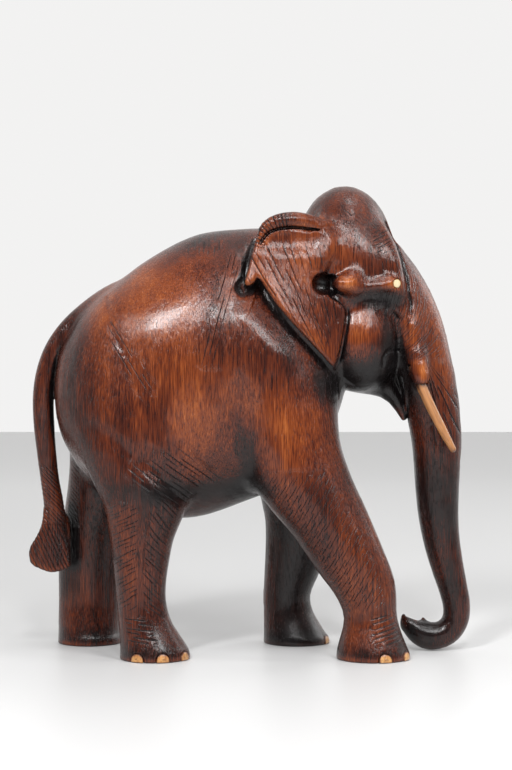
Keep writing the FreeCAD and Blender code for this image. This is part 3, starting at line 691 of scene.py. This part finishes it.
    # rolled lip along the top, a dish below it
    tube = chain(np.column_stack([Q[:, 0], Q[:, 1] - face + 4.2, Q[:, 2]]).astype(F),
                 np.column_stack([LIP[:, 0], np.zeros(len(LIP)), LIP[:, 1], LIP[:, 2]]))
    dish = ellipsoid(np.column_stack([Q[:, 0], Q[:, 1] - face, Q[:, 2]]), (33, 4.4, 348.0), (31, 6.6, 10.0),
                     turn_y(-3))
    ear = smax(ear, -dish, 6.5)
    ear = smin(ear, tube, 1.6)
    gap, _ = near_curve(P2, LIP_LINE)
    under = np.sqrt(gap ** 2 + (np.maximum(0, np.abs(out + 0.5) - 3.5)) ** 2) - 1.0
    ear = smax(ear, -under, 1.2)
    melt = np.clip((Q[:, 0] - 40) / 16, 0, 1) * np.clip((Q[:, 2] - 318) / 14, 0, 1)
    cur = smin(cur, ear, 1.6 + 15.0 * melt)
    # the notch in the ear's front edge, and the cheek bone in front of it
    hole = chain(Q, np.array([(60.2, 44, 312.0, 9.0), (60.2, 66, 312.0, 9.6)], F))
    hole = np.minimum(hole, chain(Q, np.array([(68, 46, 311.6, 8.4), (69, 66, 311.6, 8.6)], F)))
    hole = np.minimum(hole, chain(Q, np.array([(72, 50, 303.8, 4.6), (84, 54, 301.6, 4.0)], F)))
    cur = smax(cur, -hole, 1.8)
    bone = ellipsoid(Q, (78.2, 45.0, 312.2), (10.8, 11.4, 8.3))
    cur = smin(cur, bone, 2.8 + 11.0 * np.clip((Q[:, 0] - 75) / 11, 0, 1))
    d[i] = cur

    # eye: a small swelling with a round socket in it
    i = within(S, (108, 24, 300), (136, 60, 326))
    T = S[i]
    e = smin(d[i], np.sqrt(((T - (EYE_AT - 6.0 * EYE_OUT)) ** 2).sum(1)) - 6.0, 2.5)
    q = T - EYE_AT
    t = q @ EYE_OUT
    r = np.sqrt(np.maximum((q ** 2).sum(1) - t * t, 0))
    d[i] = smax(e, -np.maximum(r - 3.9, -2.6 - t), 0.5)

    # tusk sockets: a counterbore at the mouth, then the bore
    i = within(S, (120, 12, 215), (160, 45, 262))
    T = S[i]
    q = T - TUSK_AT
    t = q @ TUSK_OUT
    r = np.sqrt(np.maximum((q ** 2).sum(1) - t * t, 0))
    bore = np.minimum(np.maximum(r - 5.1, -2.8 - t), np.maximum(r - 3.5, -19.6 - t))
    d[i] = smax(d[i], -bore, 0.4)

    # pockets that the toenails are let into
    for c, out, side in NAIL_SPOTS:
        i = within(P, (c[0] - 9, c[1] - 9, None), (c[0] + 9, c[1] + 9, 14))
        Q = P[i]
        q = Q - np.array([c[0], c[1], 0], F)
        t = q[:, 0] * out[0] + q[:, 1] * out[1]
        a = q[:, 0] * -out[1] + q[:, 1] * out[0]
        arch = np.where(Q[:, 2] > 1.9, np.hypot(a, Q[:, 2] - 1.9), np.abs(a)) - 5.9
        d[i] = smax(d[i], -np.maximum(arch, -2.0 - t), 0.4)

    # soles: flat, with a small worn edge
    d = smax(d, -z - 0.0, 1.4)
    if lines:
        j = np.nonzero(np.abs(d) < 4.0)[0]
        d[j] = d[j] + creases(P[j])[0]
        j = np.nonzero(np.abs(d) < 1.8)[0]
        d[j] = d[j] + cut_depth(P[j])
    return d


# ------------------------------------------------------------- meshing
def spread(fn, P, size=250000):
    """fn over many points, in a few threads."""
    with ThreadPoolExecutor(4) as pool:
        return np.concatenate(list(pool.map(fn, np.array_split(P, max(1, len(P) // size)))))


def sample(A, q):
    """Trilinear reading of a grid at points given in its own steps."""
    q = np.clip(q, 0, np.array(A.shape) - 1.001)
    i = q.astype(np.int64)
    f = (q - i).astype(F)
    out = np.zeros(len(q), F)
    for dx in (0, 1):
        for dy in (0, 1):
            for dz in (0, 1):
                w = (f[:, 0] if dx else 1 - f[:, 0]) * (f[:, 1] if dy else 1 - f[:, 1]) * (f[:, 2] if dz else 1 - f[:, 2])
                out += w * A[i[:, 0] + dx, i[:, 1] + dy, i[:, 2] + dz]
    return out


def sculpt(step):
    """The block as a mesh: points in mm, triangles, quads, normals, how closed in each point is (used for painted shade
    in hollows) and how far it stands out (used for lighter edges, partly rubbed wear and partly a painted highlight)."""
    lo = np.array([-200.0, -84.0, -4.0])
    hi = np.array([200.0, 84.0, 404.0])
    B = 4
    n = np.ceil((hi - lo) / (step * B)).astype(int)
    ax = [lo[i] + (np.arange(n[i]) * B + (B - 1) / 2) * step for i in range(3)]
    G = np.stack(np.meshgrid(*ax, indexing="ij"), -1).reshape(-1, 3)
    c = spread(lambda g: field(g, False), G).reshape(n)
    live = np.abs(c) < step * B * 0.9 + 3.2
    dense = np.repeat(np.repeat(np.repeat(np.where(c > 0, 3.0, -3.0).astype(F), B, 0), B, 1), B, 2)
    blocks = np.argwhere(live)
    off = np.stack(np.meshgrid(*[np.arange(B)] * 3, indexing="ij"), -1).reshape(-1, 3)
    idx = (blocks[:, None, :] * B + off[None]).reshape(-1, 3)
    val = spread(lambda k: field(lo + k * step), idx)
    dense[idx[:, 0], idx[:, 1], idx[:, 2]] = np.clip(val, -3, 3)
    grid = openvdb.FloatGrid(3.0)
    grid.copyFromArray(dense, tolerance=0.0)
    pts, tris, quads = grid.convertToPolygons(isovalue=0.0, adaptivity=THIN)
    nrm = np.empty((len(pts), 3), F)
    for k in range(3):
        e = np.zeros(3)
        e[k] = 0.75
        nrm[:, k] = sample(dense, pts + e) - sample(dense, pts - e)
    nrm /= np.linalg.norm(nrm, axis=1, keepdims=True) + 1e-9
    closed = np.zeros(len(pts), F)
    wear_and_highlight = np.zeros(len(pts), F)
    mid = (pts - (B - 1) / 2) / B
    # closed in: sampled outwards along the normal; the wood gets painted shade where this is high
    for t, w in ((5.0, 0.4), (10.0, 0.35), (20.0, 0.25)):
        k = t / (step * B)
        closed += w * np.clip((t - sample(c, mid + nrm * k)) / t, 0, 1)
    # standing out: sampled inwards along the normal; the wood is painted lighter where this is high, partly as rubbed
    # wear and partly as a painted highlight
    for t, w in ((5.0, 0.5), (9.0, 0.5)):
        k = t / (step * B)
        wear_and_highlight += w * np.clip((t + sample(c, mid - nrm * k)) / t, 0, 1)
    return lo + pts * step, tris, quads, nrm, closed, wear_and_highlight


def as_mesh(name, pts, faces, normals=None):
    """A smooth mesh from points in mm and arrays of faces."""
    me = bpy.data.meshes.new(name)
    loops = np.concatenate([f.reshape(-1) for f in faces]).astype(np.int32)
    sizes = np.concatenate([np.full(len(f), f.shape[1]) for f in faces])
    me.vertices.add(len(pts))
    me.vertices.foreach_set("co", (pts * 0.001).astype(F).reshape(-1))
    me.loops.add(len(loops))
    me.loops.foreach_set("vertex_index", loops)
    me.polygons.add(len(sizes))
    me.polygons.foreach_set("loop_start", np.concatenate([[0], np.cumsum(sizes)[:-1]]).astype(np.int32))
    me.update(calc_edges=True)
    me.validate()
    me.shade_smooth()
    if normals is not None:
        me.normals_split_custom_set_from_vertices(normals.tolist())
    return me


def give(me, name, values):
    kind = "FLOAT" if values.ndim == 1 else "FLOAT_VECTOR"
    a = me.attributes.new(name, kind, "POINT")
    a.data.foreach_set("value" if values.ndim == 1 else "vector", values.astype(F).reshape(-1))


def piece(name, me, mat, body, stands_for):
    o = bpy.data.objects.new(name, me)
    bpy.context.scene.collection.objects.link(o)
    me.materials.append(mat)
    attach(o, body)
    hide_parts(stands_for)
    return o


# ------------------------------------------------------------- materials
class Kit:
    """Short calls for building a node tree."""

    def __init__(self, name):
        self.mat = bpy.data.materials.new(name)
        self.mat.use_nodes = True
        self.t = self.mat.node_tree
        self.t.nodes.clear()
        out = self.t.nodes.new("ShaderNodeOutputMaterial")
        self.b = self.t.nodes.new("ShaderNodeBsdfPrincipled")
        self.t.links.new(self.b.outputs[0], out.inputs[0])

    def put(self, socket, v):
        if isinstance(v, bpy.types.NodeSocket):
            self.t.links.new(v, socket)
        elif v is not None:
            socket.default_value = v

    def math(self, op, a, b=None, c=None, clamp=False):
        n = self.t.nodes.new("ShaderNodeMath")
        n.operation = op
        n.use_clamp = clamp
        for s, v in zip(n.inputs, (a, b, c)):
            self.put(s, v)
        return n.outputs[0]

    def add(self, *v):
        r = v[0]
        for x in v[1:]:
            r = self.math("ADD", r, x)
        return r

    def mul(self, a, b):
        return self.math("MULTIPLY", a, b)

    def span(self, v, lo, hi, a=0.0, b=1.0):
        n = self.t.nodes.new("ShaderNodeMapRange")
        n.interpolation_type = "SMOOTHSTEP"
        self.put(n.inputs[0], v)
        for k, x in zip((1, 2, 3, 4), (lo, hi, a, b)):
            n.inputs[k].default_value = x
        return n.outputs[0]

    def attribute(self, name):
        n = self.t.nodes.new("ShaderNodeAttribute")
        n.attribute_name = name
        return n

    def three(self, name):
        s = self.t.nodes.new("ShaderNodeSeparateXYZ")
        self.t.links.new(self.attribute(name).outputs["Vector"], s.inputs[0])
        return s.outputs

    def place(self, scale, source=None, turn=(0, 0, 0)):
        n = self.t.nodes.new("ShaderNodeMapping")
        n.inputs["Scale"].default_value = scale
        n.inputs["Rotation"].default_value = turn
        if source is None:
            source = self.t.nodes.new("ShaderNodeTexCoord").outputs["Object"]
        self.t.links.new(source, n.inputs["Vector"])
        return n.outputs[0]

    def noise(self, at, detail=2.0, rough=0.5, warp=0.0):
        n = self.t.nodes.new("ShaderNodeTexNoise")
        self.t.links.new(at, n.inputs["Vector"])
        n.inputs["Scale"].default_value = 1.0
        n.inputs["Detail"].default_value = detail
        n.inputs["Roughness"].default_value = rough
        n.inputs["Distortion"].default_value = warp
        return n.outputs[0]

    def ramp(self, fac, stops):
        n = self.t.nodes.new("ShaderNodeValToRGB")
        r = n.color_ramp
        while len(r.elements) < len(stops):
            r.elements.new(0.5)
        for e, (p, c) in zip(r.elements, stops):
            e.position = p
            e.color = (*c, 1)
        self.t.links.new(fac, n.inputs[0])
        return n.outputs[0]

    def bump(self, height, distance, strength=1.0):
        n = self.t.nodes.new("ShaderNodeBump")
        n.inputs["Distance"].default_value = distance
        n.inputs["Strength"].default_value = strength
        self.t.links.new(height, n.inputs["Height"])
        self.t.links.new(n.outputs[0], self.b.inputs["Normal"])

    def const(self, **v):
        for k, x in v.items():
            self.b.inputs[k.replace("_", " ")].default_value = x


def rosewood():
    k = Kit("rosewood")
    u, w, m = k.three("stroke_a")[:3]
    duty, half, cut = k.three("stroke_b")[:3]
    # three channels: how closed in (painted shade), how far it stands out (rubbed wear and painted highlight), and the
    # spot map (the wood's own colour with painted shade and painted highlights)
    closed, wear_and_highlight, wood_tone_and_light = k.three("shade_and_colour")[:3]
    # the cut strokes, crisp; further down they darken the wood as painted shade in the cuts
    i = k.math("FLOOR", u)
    r1 = k.math("FRACT", k.mul(i, 0.618034))
    r2 = k.math("FRACT", k.mul(i, 0.754878))
    r3 = k.math("FRACT", k.mul(i, 0.3247))
    f = k.math("SUBTRACT", k.math("SUBTRACT", k.math("FRACT", u), 0.5), k.mul(k.math("SUBTRACT", r2, 0.5), 0.34))
    live = k.math("FRACT", k.math("ADD", w, r1))
    dash = k.mul(k.math("MULTIPLY", k.math("SUBTRACT", duty, live), 12.5, clamp=True),
                 k.math("ADD", k.mul(live, 16.7), k.math("GREATER_THAN", duty, 0.99), clamp=True))
    dash = k.math("MAXIMUM", dash, k.math("GREATER_THAN", duty, 0.99))
    j = k.math("FLOOR", k.math("ADD", w, r1))
    gap = k.math("GREATER_THAN", k.math("FRACT", k.math("ADD", k.mul(i, 0.3571), k.mul(j, 0.7193))), 0.34)
    dash = k.mul(dash, k.math("MAXIMUM", gap, k.math("GREATER_THAN", duty, 0.7)))
    g = k.math("DIVIDE", f, k.math("MAXIMUM", half, 0.02))
    line = k.math("EXPONENT", k.mul(k.mul(g, g), -1.1))
    line = k.mul(k.mul(line, dash), k.mul(m, k.math("MULTIPLY_ADD", r3, 0.5, 0.6)))
    # grain
    bands = k.noise(k.place((52, 52, 3.4)), 3.0, 0.55, 0.3)
    grain = k.noise(k.place((330, 330, 13)), 4.0, 0.6)
    fine = k.noise(k.place((1250, 1250, 42)), 2.0, 0.6)
    pores = k.span(k.noise(k.place((1700, 1700, 95)), 1.0, 0.5), 0.60, 0.72)
    cloud = k.noise(k.place((16, 16, 10)), 3.0, 0.6)
    marks = k.span(k.noise(k.place((70, 70, 60)), 4.0, 0.75), 0.66, 0.74)
    c = lambda v, a: k.mul(k.math("SUBTRACT", v, 0.5), a)
    # the spot map: the wood's own lighter and darker parts together with painted shade and painted highlights
    v = k.add(0.43, k.mul(wood_tone_and_light, 0.50), c(bands, 0.46), c(grain, 0.30), c(fine, 0.80), c(cloud, 0.62))
    v = k.math("SUBTRACT", v, k.mul(pores, 0.17))
    v = k.math("SUBTRACT", v, k.mul(marks, 0.10))
    # painted shade: darker where the surface is closed in
    v = k.math("SUBTRACT", v, k.mul(k.span(closed, 0.30, 0.90), 0.48))
    # painted shade inside the cut strokes
    v = k.math("SUBTRACT", v, k.mul(line, 0.42))
    # lighter on edges that stand out: rubbed wear and a painted highlight
    v = k.add(v, k.mul(k.span(wear_and_highlight, 0.30, 0.75), 0.20))
    col = k.ramp(v, [(0.02, (0.0036, 0.0022, 0.0024)), (0.20, (0.013, 0.0042, 0.0032)), (0.36, (0.043, 0.0082, 0.0040)),
                     (0.52, (0.101, 0.0192, 0.0054)), (0.68, (0.178, 0.0385, 0.0080)), (0.84, (0.276, 0.074, 0.0155)),
                     (1.0, (0.41, 0.128, 0.034))])
    k.put(k.b.inputs["Base Color"], col)
    rough = k.add(0.205, c(grain, 0.20), c(cloud, 0.22), c(fine, 0.24), k.mul(line, 0.06), k.mul(pores, 0.08))
    k.put(k.b.inputs["Roughness"], k.math("MAXIMUM", rough, 0.11))
    k.const(IOR=1.40, Coat_Weight=0.12, Coat_Roughness=0.10)
    facets = k.noise(k.place((58, 58, 36)), 2.0, 0.5)
    h = k.add(k.mul(facets, 4.8), k.mul(grain, 0.8), k.mul(fine, 1.1), k.mul(pores, -0.8), k.mul(line, -2.0),
              k.mul(marks, -0.35))
    k.bump(h, 0.00028)
    return k.mat


def pale_wood(name, stops, along, dark):
    k = Kit(name)
    src = k.attribute("run").outputs["Vector"]
    grain = k.noise(k.place((420, 420, 420 * along), src), 3.0, 0.6)
    fine = k.noise(k.place((1500, 1500, 1500 * along), src), 2.0, 0.6)
    flecks = k.span(k.noise(k.place((900, 900, 900 * along * 1.6), src), 1.0, 0.5), 0.60, 0.70)
    cloud = k.noise(k.place((60, 60, 40), src), 2.0, 0.5)
    rim = k.attribute("rim").outputs["Fac"]
    c = lambda v, a: k.mul(k.math("SUBTRACT", v, 0.5), a)
    v = k.add(0.56, c(grain, 0.8), c(fine, 0.4), c(cloud, 0.5), k.mul(flecks, -0.16))
    v = k.math("SUBTRACT", v, k.mul(rim, dark))
    k.put(k.b.inputs["Base Color"], k.ramp(v, stops))
    rough = k.add(0.36, c(grain, 0.25), k.mul(flecks, 0.1))
    k.put(k.b.inputs["Roughness"], rough)
    k.const(IOR=1.48, Coat_Weight=0.25, Coat_Roughness=0.15)
    k.bump(k.add(grain, k.mul(fine, 0.5), k.mul(flecks, -1.0)), 0.00010)
    return k.mat


def bone():
    k = Kit("eye_bone")
    rim = k.attribute("rim").outputs["Fac"]
    spots = k.span(k.noise(k.place((900, 900, 900)), 3.0, 0.7), 0.55, 0.68)
    cloud = k.noise(k.place((380, 380, 380)), 2.0, 0.6)
    v = k.add(0.80, k.mul(k.math("SUBTRACT", cloud, 0.5), 0.4), k.mul(spots, -0.28), k.mul(rim, -0.40))
    k.put(k.b.inputs["Base Color"], k.ramp(v, [(0.1, (0.12, 0.055, 0.02)), (0.45, (0.36, 0.21, 0.085)),
                                               (0.7, (0.58, 0.46, 0.26)), (0.95, (0.66, 0.58, 0.41))]))
    k.put(k.b.inputs["Roughness"], k.add(0.22, k.mul(spots, 0.2)))
    k.const(IOR=1.5, Coat_Weight=0.4, Coat_Roughness=0.08)
    k.bump(k.add(cloud, k.mul(spots, -0.6)), 0.00008)
    return k.mat


ROSEWOOD = rosewood()
TUSK_WOOD = pale_wood("tusk_wood", [(0.05, (0.05, 0.018, 0.008)), (0.3, (0.20, 0.080, 0.028)),
                                    (0.6, (0.40, 0.175, 0.062)), (0.95, (0.56, 0.30, 0.13))], 0.045, 0.55)
NAIL_WOOD = pale_wood("nail_wood", [(0.05, (0.07, 0.022, 0.009)), (0.3, (0.27, 0.105, 0.034)),
                                    (0.6, (0.52, 0.26, 0.085)), (0.95, (0.68, 0.44, 0.20))], 0.3, 0.60)
BONE = bone()

# ------------------------------------------------------------- the pieces
# Lighter and darker parts of the block: x, z, radius x, radius z, amount. Some are the wood's own colour; others are
# painted light: painted shade under the jaw and throat, at the mouth, in the hollow between cheek and proboscis, under
# the lid, in the ear's notch, along the shoulder crease and along the belly's underside, and painted highlights on the
# cheek, the cheek bone, the lid ridge and the tusk sheath. The feet are darker at their lowest edge.
TONE_AND_PAINTED_LIGHT = [(-55, 300, 55, 34, 0.34), (-50, 354, 70, 15, -0.38), (-108, 280, 34, 42, 0.22), (-55, 215, 44, 44, 0.38), (-75, 165, 40, 20, -0.10),
         (34, 182, 22, 32, 0.50), (52, 140, 22, 34, 0.06), (-16, 330, 40, 26, -0.06), (-84, 95, 20, 50, -0.10),
         (-62, 139, 58, 9, -0.70), (0, 164, 8, 22, -0.75), (-6, 188, 11, 26, -0.30), (2, 142, 15, 12, -0.7),
         (14, 286, 24, 30, -0.16), (42, 252, 22, 18, -0.20), (72, 226, 20, 15, -0.95), (100, 234, 30, 12, -1.1),
         (122, 225, 18, 26, -1.50), (118, 258, 11, 20, -0.85), (108, 299, 24, 7, -0.95), (92, 276, 12, 20, 0.75),
         (110, 262, 5, 18, 0.35), (80, 312, 10, 8, 0.85), (116, 312, 12, 6, 0.35), (60, 345, 40, 20, 0.22),
         (104, 340, 20, 24, 0.12), (40, 318, 24, 26, 0.18), (52, 272, 22, 20, 0.06), (62, 312, 9, 9, -1.2),
         (144, 240, 8, 11, 0.80), (135, 268, 6, 16, 0.55), (150, 300, 20, 40, 0.15), (163, 225, 12, 40, 0.30),
         (163, 130, 22, 50, -0.50), (172, 50, 20, 30, -0.40), (150, 20, 26, 16, -0.6), (-176, 210, 14, 80, -0.10),
         (-148, 240, 14, 60, -0.35), (-174, 85, 20, 24, -0.45), (-136, 80, 22, 70, -0.24), (-112, 262, 10, 34, -0.22), (-30, 230, 12, 50, -0.14), (-78, 6, 30, 7, -0.45),
         (102, 6, 32, 7, -0.45), (40, 6, 32, 7, -0.5), (-143, 6, 32, 7, -0.5), (40, 60, 26, 60, -0.42)]


def tone_and_painted_light(P):
    x, y, z = P[:, 0], P[:, 1], P[:, 2]
    v = np.zeros(len(P), F)
    for cx, cz, rx, rz, a in TONE_AND_PAINTED_LIGHT:
        v += a * np.exp(-((x - cx) / rx) ** 2 - ((z - cz) / rz) ** 2)
    # painted shade: darker underneath the belly and between the legs, near the middle plane
    v -= 0.45 * np.clip((150 - z) / 40, 0, 1) * np.exp(-(y / 34) ** 2) * (np.abs(x) < 140)
    return v


STEP = 0.85        # mm, grid pitch of the sculpt
THIN = 0.06
pts, tris, quads, nrm, closed, wear_and_highlight = sculpt(STEP)
me = as_mesh("elephant_block", pts, [quads, tris] if len(tris) else [quads], nrm)
a = spread(lambda p: np.stack(strokes(p.astype(F)), -1), pts)
give(me, "stroke_a", a[:, :3])
give(me, "stroke_b", a[:, 3:])
# painted shade from how closed in each point is and from the creases, lighter standing-out edges (rubbed wear and
# painted highlight), and the spot map (the wood's own colour with painted shade and painted highlights)
give(me, "shade_and_colour", np.stack([np.maximum(closed, creases(pts.astype(F))[1]), wear_and_highlight, tone_and_painted_light(pts)], -1))
block = piece("elephant_block", me, ROSEWOOD, "figure", "carved_body")


def turned(rings, seg, frame, origin, wobble=0.0):
    """A solid of round sections: each ring is along, radius, offset."""
    a = np.linspace(0, 2 * math.pi, seg, endpoint=False)
    ux, uy, uz = frame
    P, L, R = [], [], []
    for s, r, off in rings:
        k = r * (1 + wobble * (0.5 * np.sin(3 * a + s * 0.11) + 0.35 * np.sin(5 * a - s * 0.23) + 0.25 * np.sin(2 * a + 1 + s * 0.31)))
        q = origin + uz * s + ux * off + np.outer(np.cos(a) * k, ux) + np.outer(np.sin(a) * k, uy)
        P.append(q)
        L.append(np.stack([np.cos(a) * k, np.sin(a) * k, np.full(seg, s)], -1))
    P, L = np.concatenate(P), np.concatenate(L)
    n = len(rings)
    i = np.arange(seg)
    j = (i + 1) % seg
    quads = np.concatenate([np.stack([r * seg + i, r * seg + j, (r + 1) * seg + j, (r + 1) * seg + i], -1)
                            for r in range(n - 1)])
    ends = [origin + uz * rings[0][0] + ux * rings[0][2], origin + uz * rings[-1][0] + ux * rings[-1][2]]
    P = np.concatenate([P, ends])
    L = np.concatenate([L, [[0, 0, rings[0][0]], [0, 0, rings[-1][0]]]])
    caps = np.concatenate([np.stack([j, i, np.full(seg, n * seg)], -1),
                           np.stack([(n - 1) * seg + i, (n - 1) * seg + j, np.full(seg, n * seg + 1)], -1)])
    return P, quads, caps, L


for tag, side in (("right", -1), ("left", 1)):
    uz = np.array([0.436, side * 0.100, -0.894])
    uz /= np.linalg.norm(uz)
    ux = np.array([uz[2], 0, -uz[0]])
    ux /= np.linalg.norm(ux)
    if ux[0] > 0:
        ux = -ux
    uy = np.cross(uz, ux)
    at = np.array([143.6, side * 28.5, 228.0])
    start = -2.25
    rings = [(start - 16, 2.3, 0), (start - 15.7, 2.7, 0), (start - 15.2, 2.92, 0)]
    rings += [(start - 15.2 + 14.6 * t, 2.94, 0) for t in np.linspace(0.1, 1, 10)]
    rings += [(start - 0.1, 2.95, 0), (start, 3.1, 0), (start + 0.02, 3.8, 0), (start + 0.25, 4.15, 0), (start + 0.7, 4.27, 0)]
    for t in np.linspace(0.02, 0.955, 52):
        r = np.interp(t, [0, 0.12, 0.35, 0.6, 0.82, 0.97], [4.3, 4.3, 4.18, 3.9, 3.35, 2.7])
        rings.append((start + t * (63 - start), r, 0.9 * math.sin(math.pi * t)))
    s0, r0, o0 = rings[-1]
    for t in np.linspace(0.15, 0.98, 9):
        rings.append((s0 + (62.9 - s0) * math.sin(t * math.pi / 2), r0 * math.cos(t * math.pi / 2) ** 0.8,
                      o0 * (1 - 0.3 * t)))
    P, quads_, caps, L = turned(rings, 44, (ux, uy, uz), at, 0.022)
    me = as_mesh(tag + "_tusk_wood", P, [quads_, caps])
    give(me, "run", L * 0.001 + np.array([0.3 * side, 0, 0]))
    give(me, "rim", np.clip(np.interp(L[:, 2], [-3, 0.0, 4, 54, 61, 63], [1, 0.9, 0.12, 0.0, 0.25, 0.6]), 0, 1))
    piece(tag + "_tusk_wood", me, TUSK_WOOD, tag + "_tusk_body", tag + "_tusk")

    # eye: a small domed disc
    uz = np.array([0.41, side * 0.905, -0.08])
    uz /= np.linalg.norm(uz)
    ux = np.cross([0, 0, 1.0], uz)
    ux /= np.linalg.norm(ux)
    uy = np.cross(uz, ux)
    at = np.array([122.4, side * 40.9, 313.0])
    rings = [(-2.4, 3.3, 0), (-2.2, 3.55, 0), (-1.2, 3.6, 0), (-0.3, 3.6, 0), (-0.02, 3.52, 0), (0.12, 3.3, 0)]
    rings += [(0.12 + 0.36 * (1 - (r / 3.3) ** 2), r, 0) for r in (2.9, 2.4, 1.9, 1.4, 0.9, 0.4)]
    P, quads_, caps, L = turned(rings, 40, (ux, uy, uz), at, 0.02)
    me = as_mesh(tag + "_eye_bone", P, [quads_, caps])
    give(me, "rim", np.clip((np.hypot(L[:, 0], L[:, 1]) - 2.7) / 0.9, 0, 1))
    piece(tag + "_eye_bone", me, BONE, "figure", tag + "_eye")

# toenails: half-round inlays that follow the foot
for leg, k, ang in NAILS:
    w = 5.5
    top = np.linspace(0, math.pi, 29)
    edge = np.concatenate([np.stack([np.linspace(-w, w, 15)[1:-1], np.full(13, 0.45)], -1),
                           [[w, 0.45], [w, 1.2]], np.stack([w * np.cos(top), 1.9 + w * np.sin(top)], -1),
                           [[-w, 1.2], [-w, 0.45]]])
    mid = np.array([0, 3.3])
    rows = [(f, 0.36 + 0.42 * (1 - f ** 2)) for f in (0.12, 0.3, 0.48, 0.64, 0.78, 0.88, 0.95)]
    rows += [(0.985, 0.30), (1.0, 0.08), (1.0, -0.6), (1.0, -1.9), (0.97, -2.0), (0.5, -2.0)]
    V, RIM, RUN = [], [], []
    for f, lift in [(0.0, 0.78)] + rows + [(0.0, -2.0)]:
        e = (mid + (edge - mid) * f) if f else mid[None]
        _, _, far = foot_at(leg, np.array(ang), np.array(3.5))
        turn = -LEGS[leg][0] * 0 + e[:, 0] / far
        p, n, _ = foot_at(leg, ang + turn, np.maximum(e[:, 1], 0.0))
        p[:, :2] += n * lift
        V.append(p)
        RIM.append(np.full(len(e), np.clip((f - 0.80) / 0.2, 0, 1)) * 0.8
                   + 0.35 * np.clip((e[:, 1] - 4.6) / 2.8, 0, 1))
        RUN.append(np.stack([e[:, 0], np.full(len(e), lift), e[:, 1]], -1) * 0.001 + 0.11 * k + (0.37 if "rear" in leg else 0.0)
                   + 0.05 * LEGS[leg][0])
    V, RIM, RUN = np.concatenate(V), np.concatenate(RIM), np.concatenate(RUN)
    m_ = len(edge)
    i = np.arange(m_)
    j = (i + 1) % m_
    q = np.concatenate([np.stack([1 + r * m_ + i, 1 + r * m_ + j, 1 + (r + 1) * m_ + j, 1 + (r + 1) * m_ + i], -1)
                        for r in range(len(rows) - 1)])
    last = 1 + (len(rows) - 1) * m_
    t3 = np.concatenate([np.stack([np.zeros(m_, int), i + 1, j + 1], -1),
                         np.stack([last + j, last + i, np.full(m_, len(V) - 1)], -1)])
    if LEGS[leg][0] > 0:
        q, t3 = q[:, ::-1], t3[:, ::-1]
    me = as_mesh("%s_toenail_%d" % (leg, k), V, [q, t3])
    give(me, "rim", np.clip(RIM, 0, 1))
    give(me, "run", RUN)
    piece("%s_toenail_%d" % (leg, k), me, NAIL_WOOD, "figure", "%s_nail_%d" % (leg, k))

# ------------------------------------------------------- floor, light, view
me = bpy.data.meshes.new("floor")
me.from_pydata([(-7, -7, 0), (7, -7, 0), (7, 7, 0), (-7, 7, 0)], [], [(0, 1, 2, 3)])
floor = bpy.data.objects.new("floor", me)
bpy.context.scene.collection.objects.link(floor)
k = Kit("floor_pale")
back = k.t.nodes.new("ShaderNodeSeparateXYZ")
k.t.links.new(k.place((1, 1, 1)), back.inputs[0])
k.put(k.b.inputs["Base Color"], k.span(back.outputs[1], 0.2, 2.6, 0.57, 0.93))
k.const(Roughness=0.42)
me.materials.append(k.mat)

world = bpy.data.worlds.new("studio")
world.use_nodes = True
bg = world.node_tree.nodes["Background"]
w = world.node_tree
turn = w.nodes.new("ShaderNodeTexCoord")
split = w.nodes.new("ShaderNodeSeparateXYZ")
w.links.new(turn.outputs["Generated"], split.inputs[0])
side = w.nodes.new("ShaderNodeMapRange")
side.interpolation_type = "SMOOTHSTEP"
for n_, v_ in zip((1, 2, 3, 4), (-0.7, 0.75, 0.19, 0.90)):
    side.inputs[n_].default_value = v_
w.links.new(split.outputs[1], side.inputs[0])
w.links.new(side.outputs[0], bg.inputs[1])
bg.inputs[0].default_value = (0.99, 0.985, 0.98, 1)
bpy.context.scene.world = world


def lamp(name, at, to, size, power, colour=(1, 1, 1)):
    d = bpy.data.lights.new(name, "AREA")
    d.shape = "RECTANGLE"
    d.size, d.size_y = size
    d.energy = power
    d.color = colour
    o = bpy.data.objects.new(name, d)
    bpy.context.scene.collection.objects.link(o)
    o.location = at
    o.rotation_euler = (Vector(to) - Vector(at)).to_track_quat("-Z", "Y").to_euler()
    return o


lamp("window_a", (-0.62, -1.55, 1.42), (0.0, 0, 0.24), (0.24, 0.50), 29)
lamp("window_b", (0.10, -1.60, 1.46), (0.0, 0, 0.24), (0.17, 0.52), 15)
lamp("top", (0.35, -0.2, 1.9), (0.05, 0, 0.2), (0.30, 0.36), 6)
lamp("window_c", (0.74, -1.16, 1.04), (0.03, 0, 0.27), (0.42, 0.46), 11.5)
lamp("high", (0.45, -0.70, 1.56), (0.09, -0.03, 0.37), (0.16, 0.30), 3.5)
lamp("far", (1.5, 0.9, 1.0), (0.1, 0, 0.2), (0.8, 1.0), 8)

cam = bpy.data.cameras.new("view")
cam.sensor_width = 36
cam.lens = 1755 * 36 / 770
cam.clip_start, cam.clip_end = 0.05, 40
camera = bpy.data.objects.new("view", cam)
bpy.context.scene.collection.objects.link(camera)
camera.location = (0.0043, -1.51, 0.228)
camera.rotation_euler = (math.pi / 2, 0, 0)
bpy.context.scene.camera = camera
bpy.context.scene.view_settings.view_transform = "Standard"
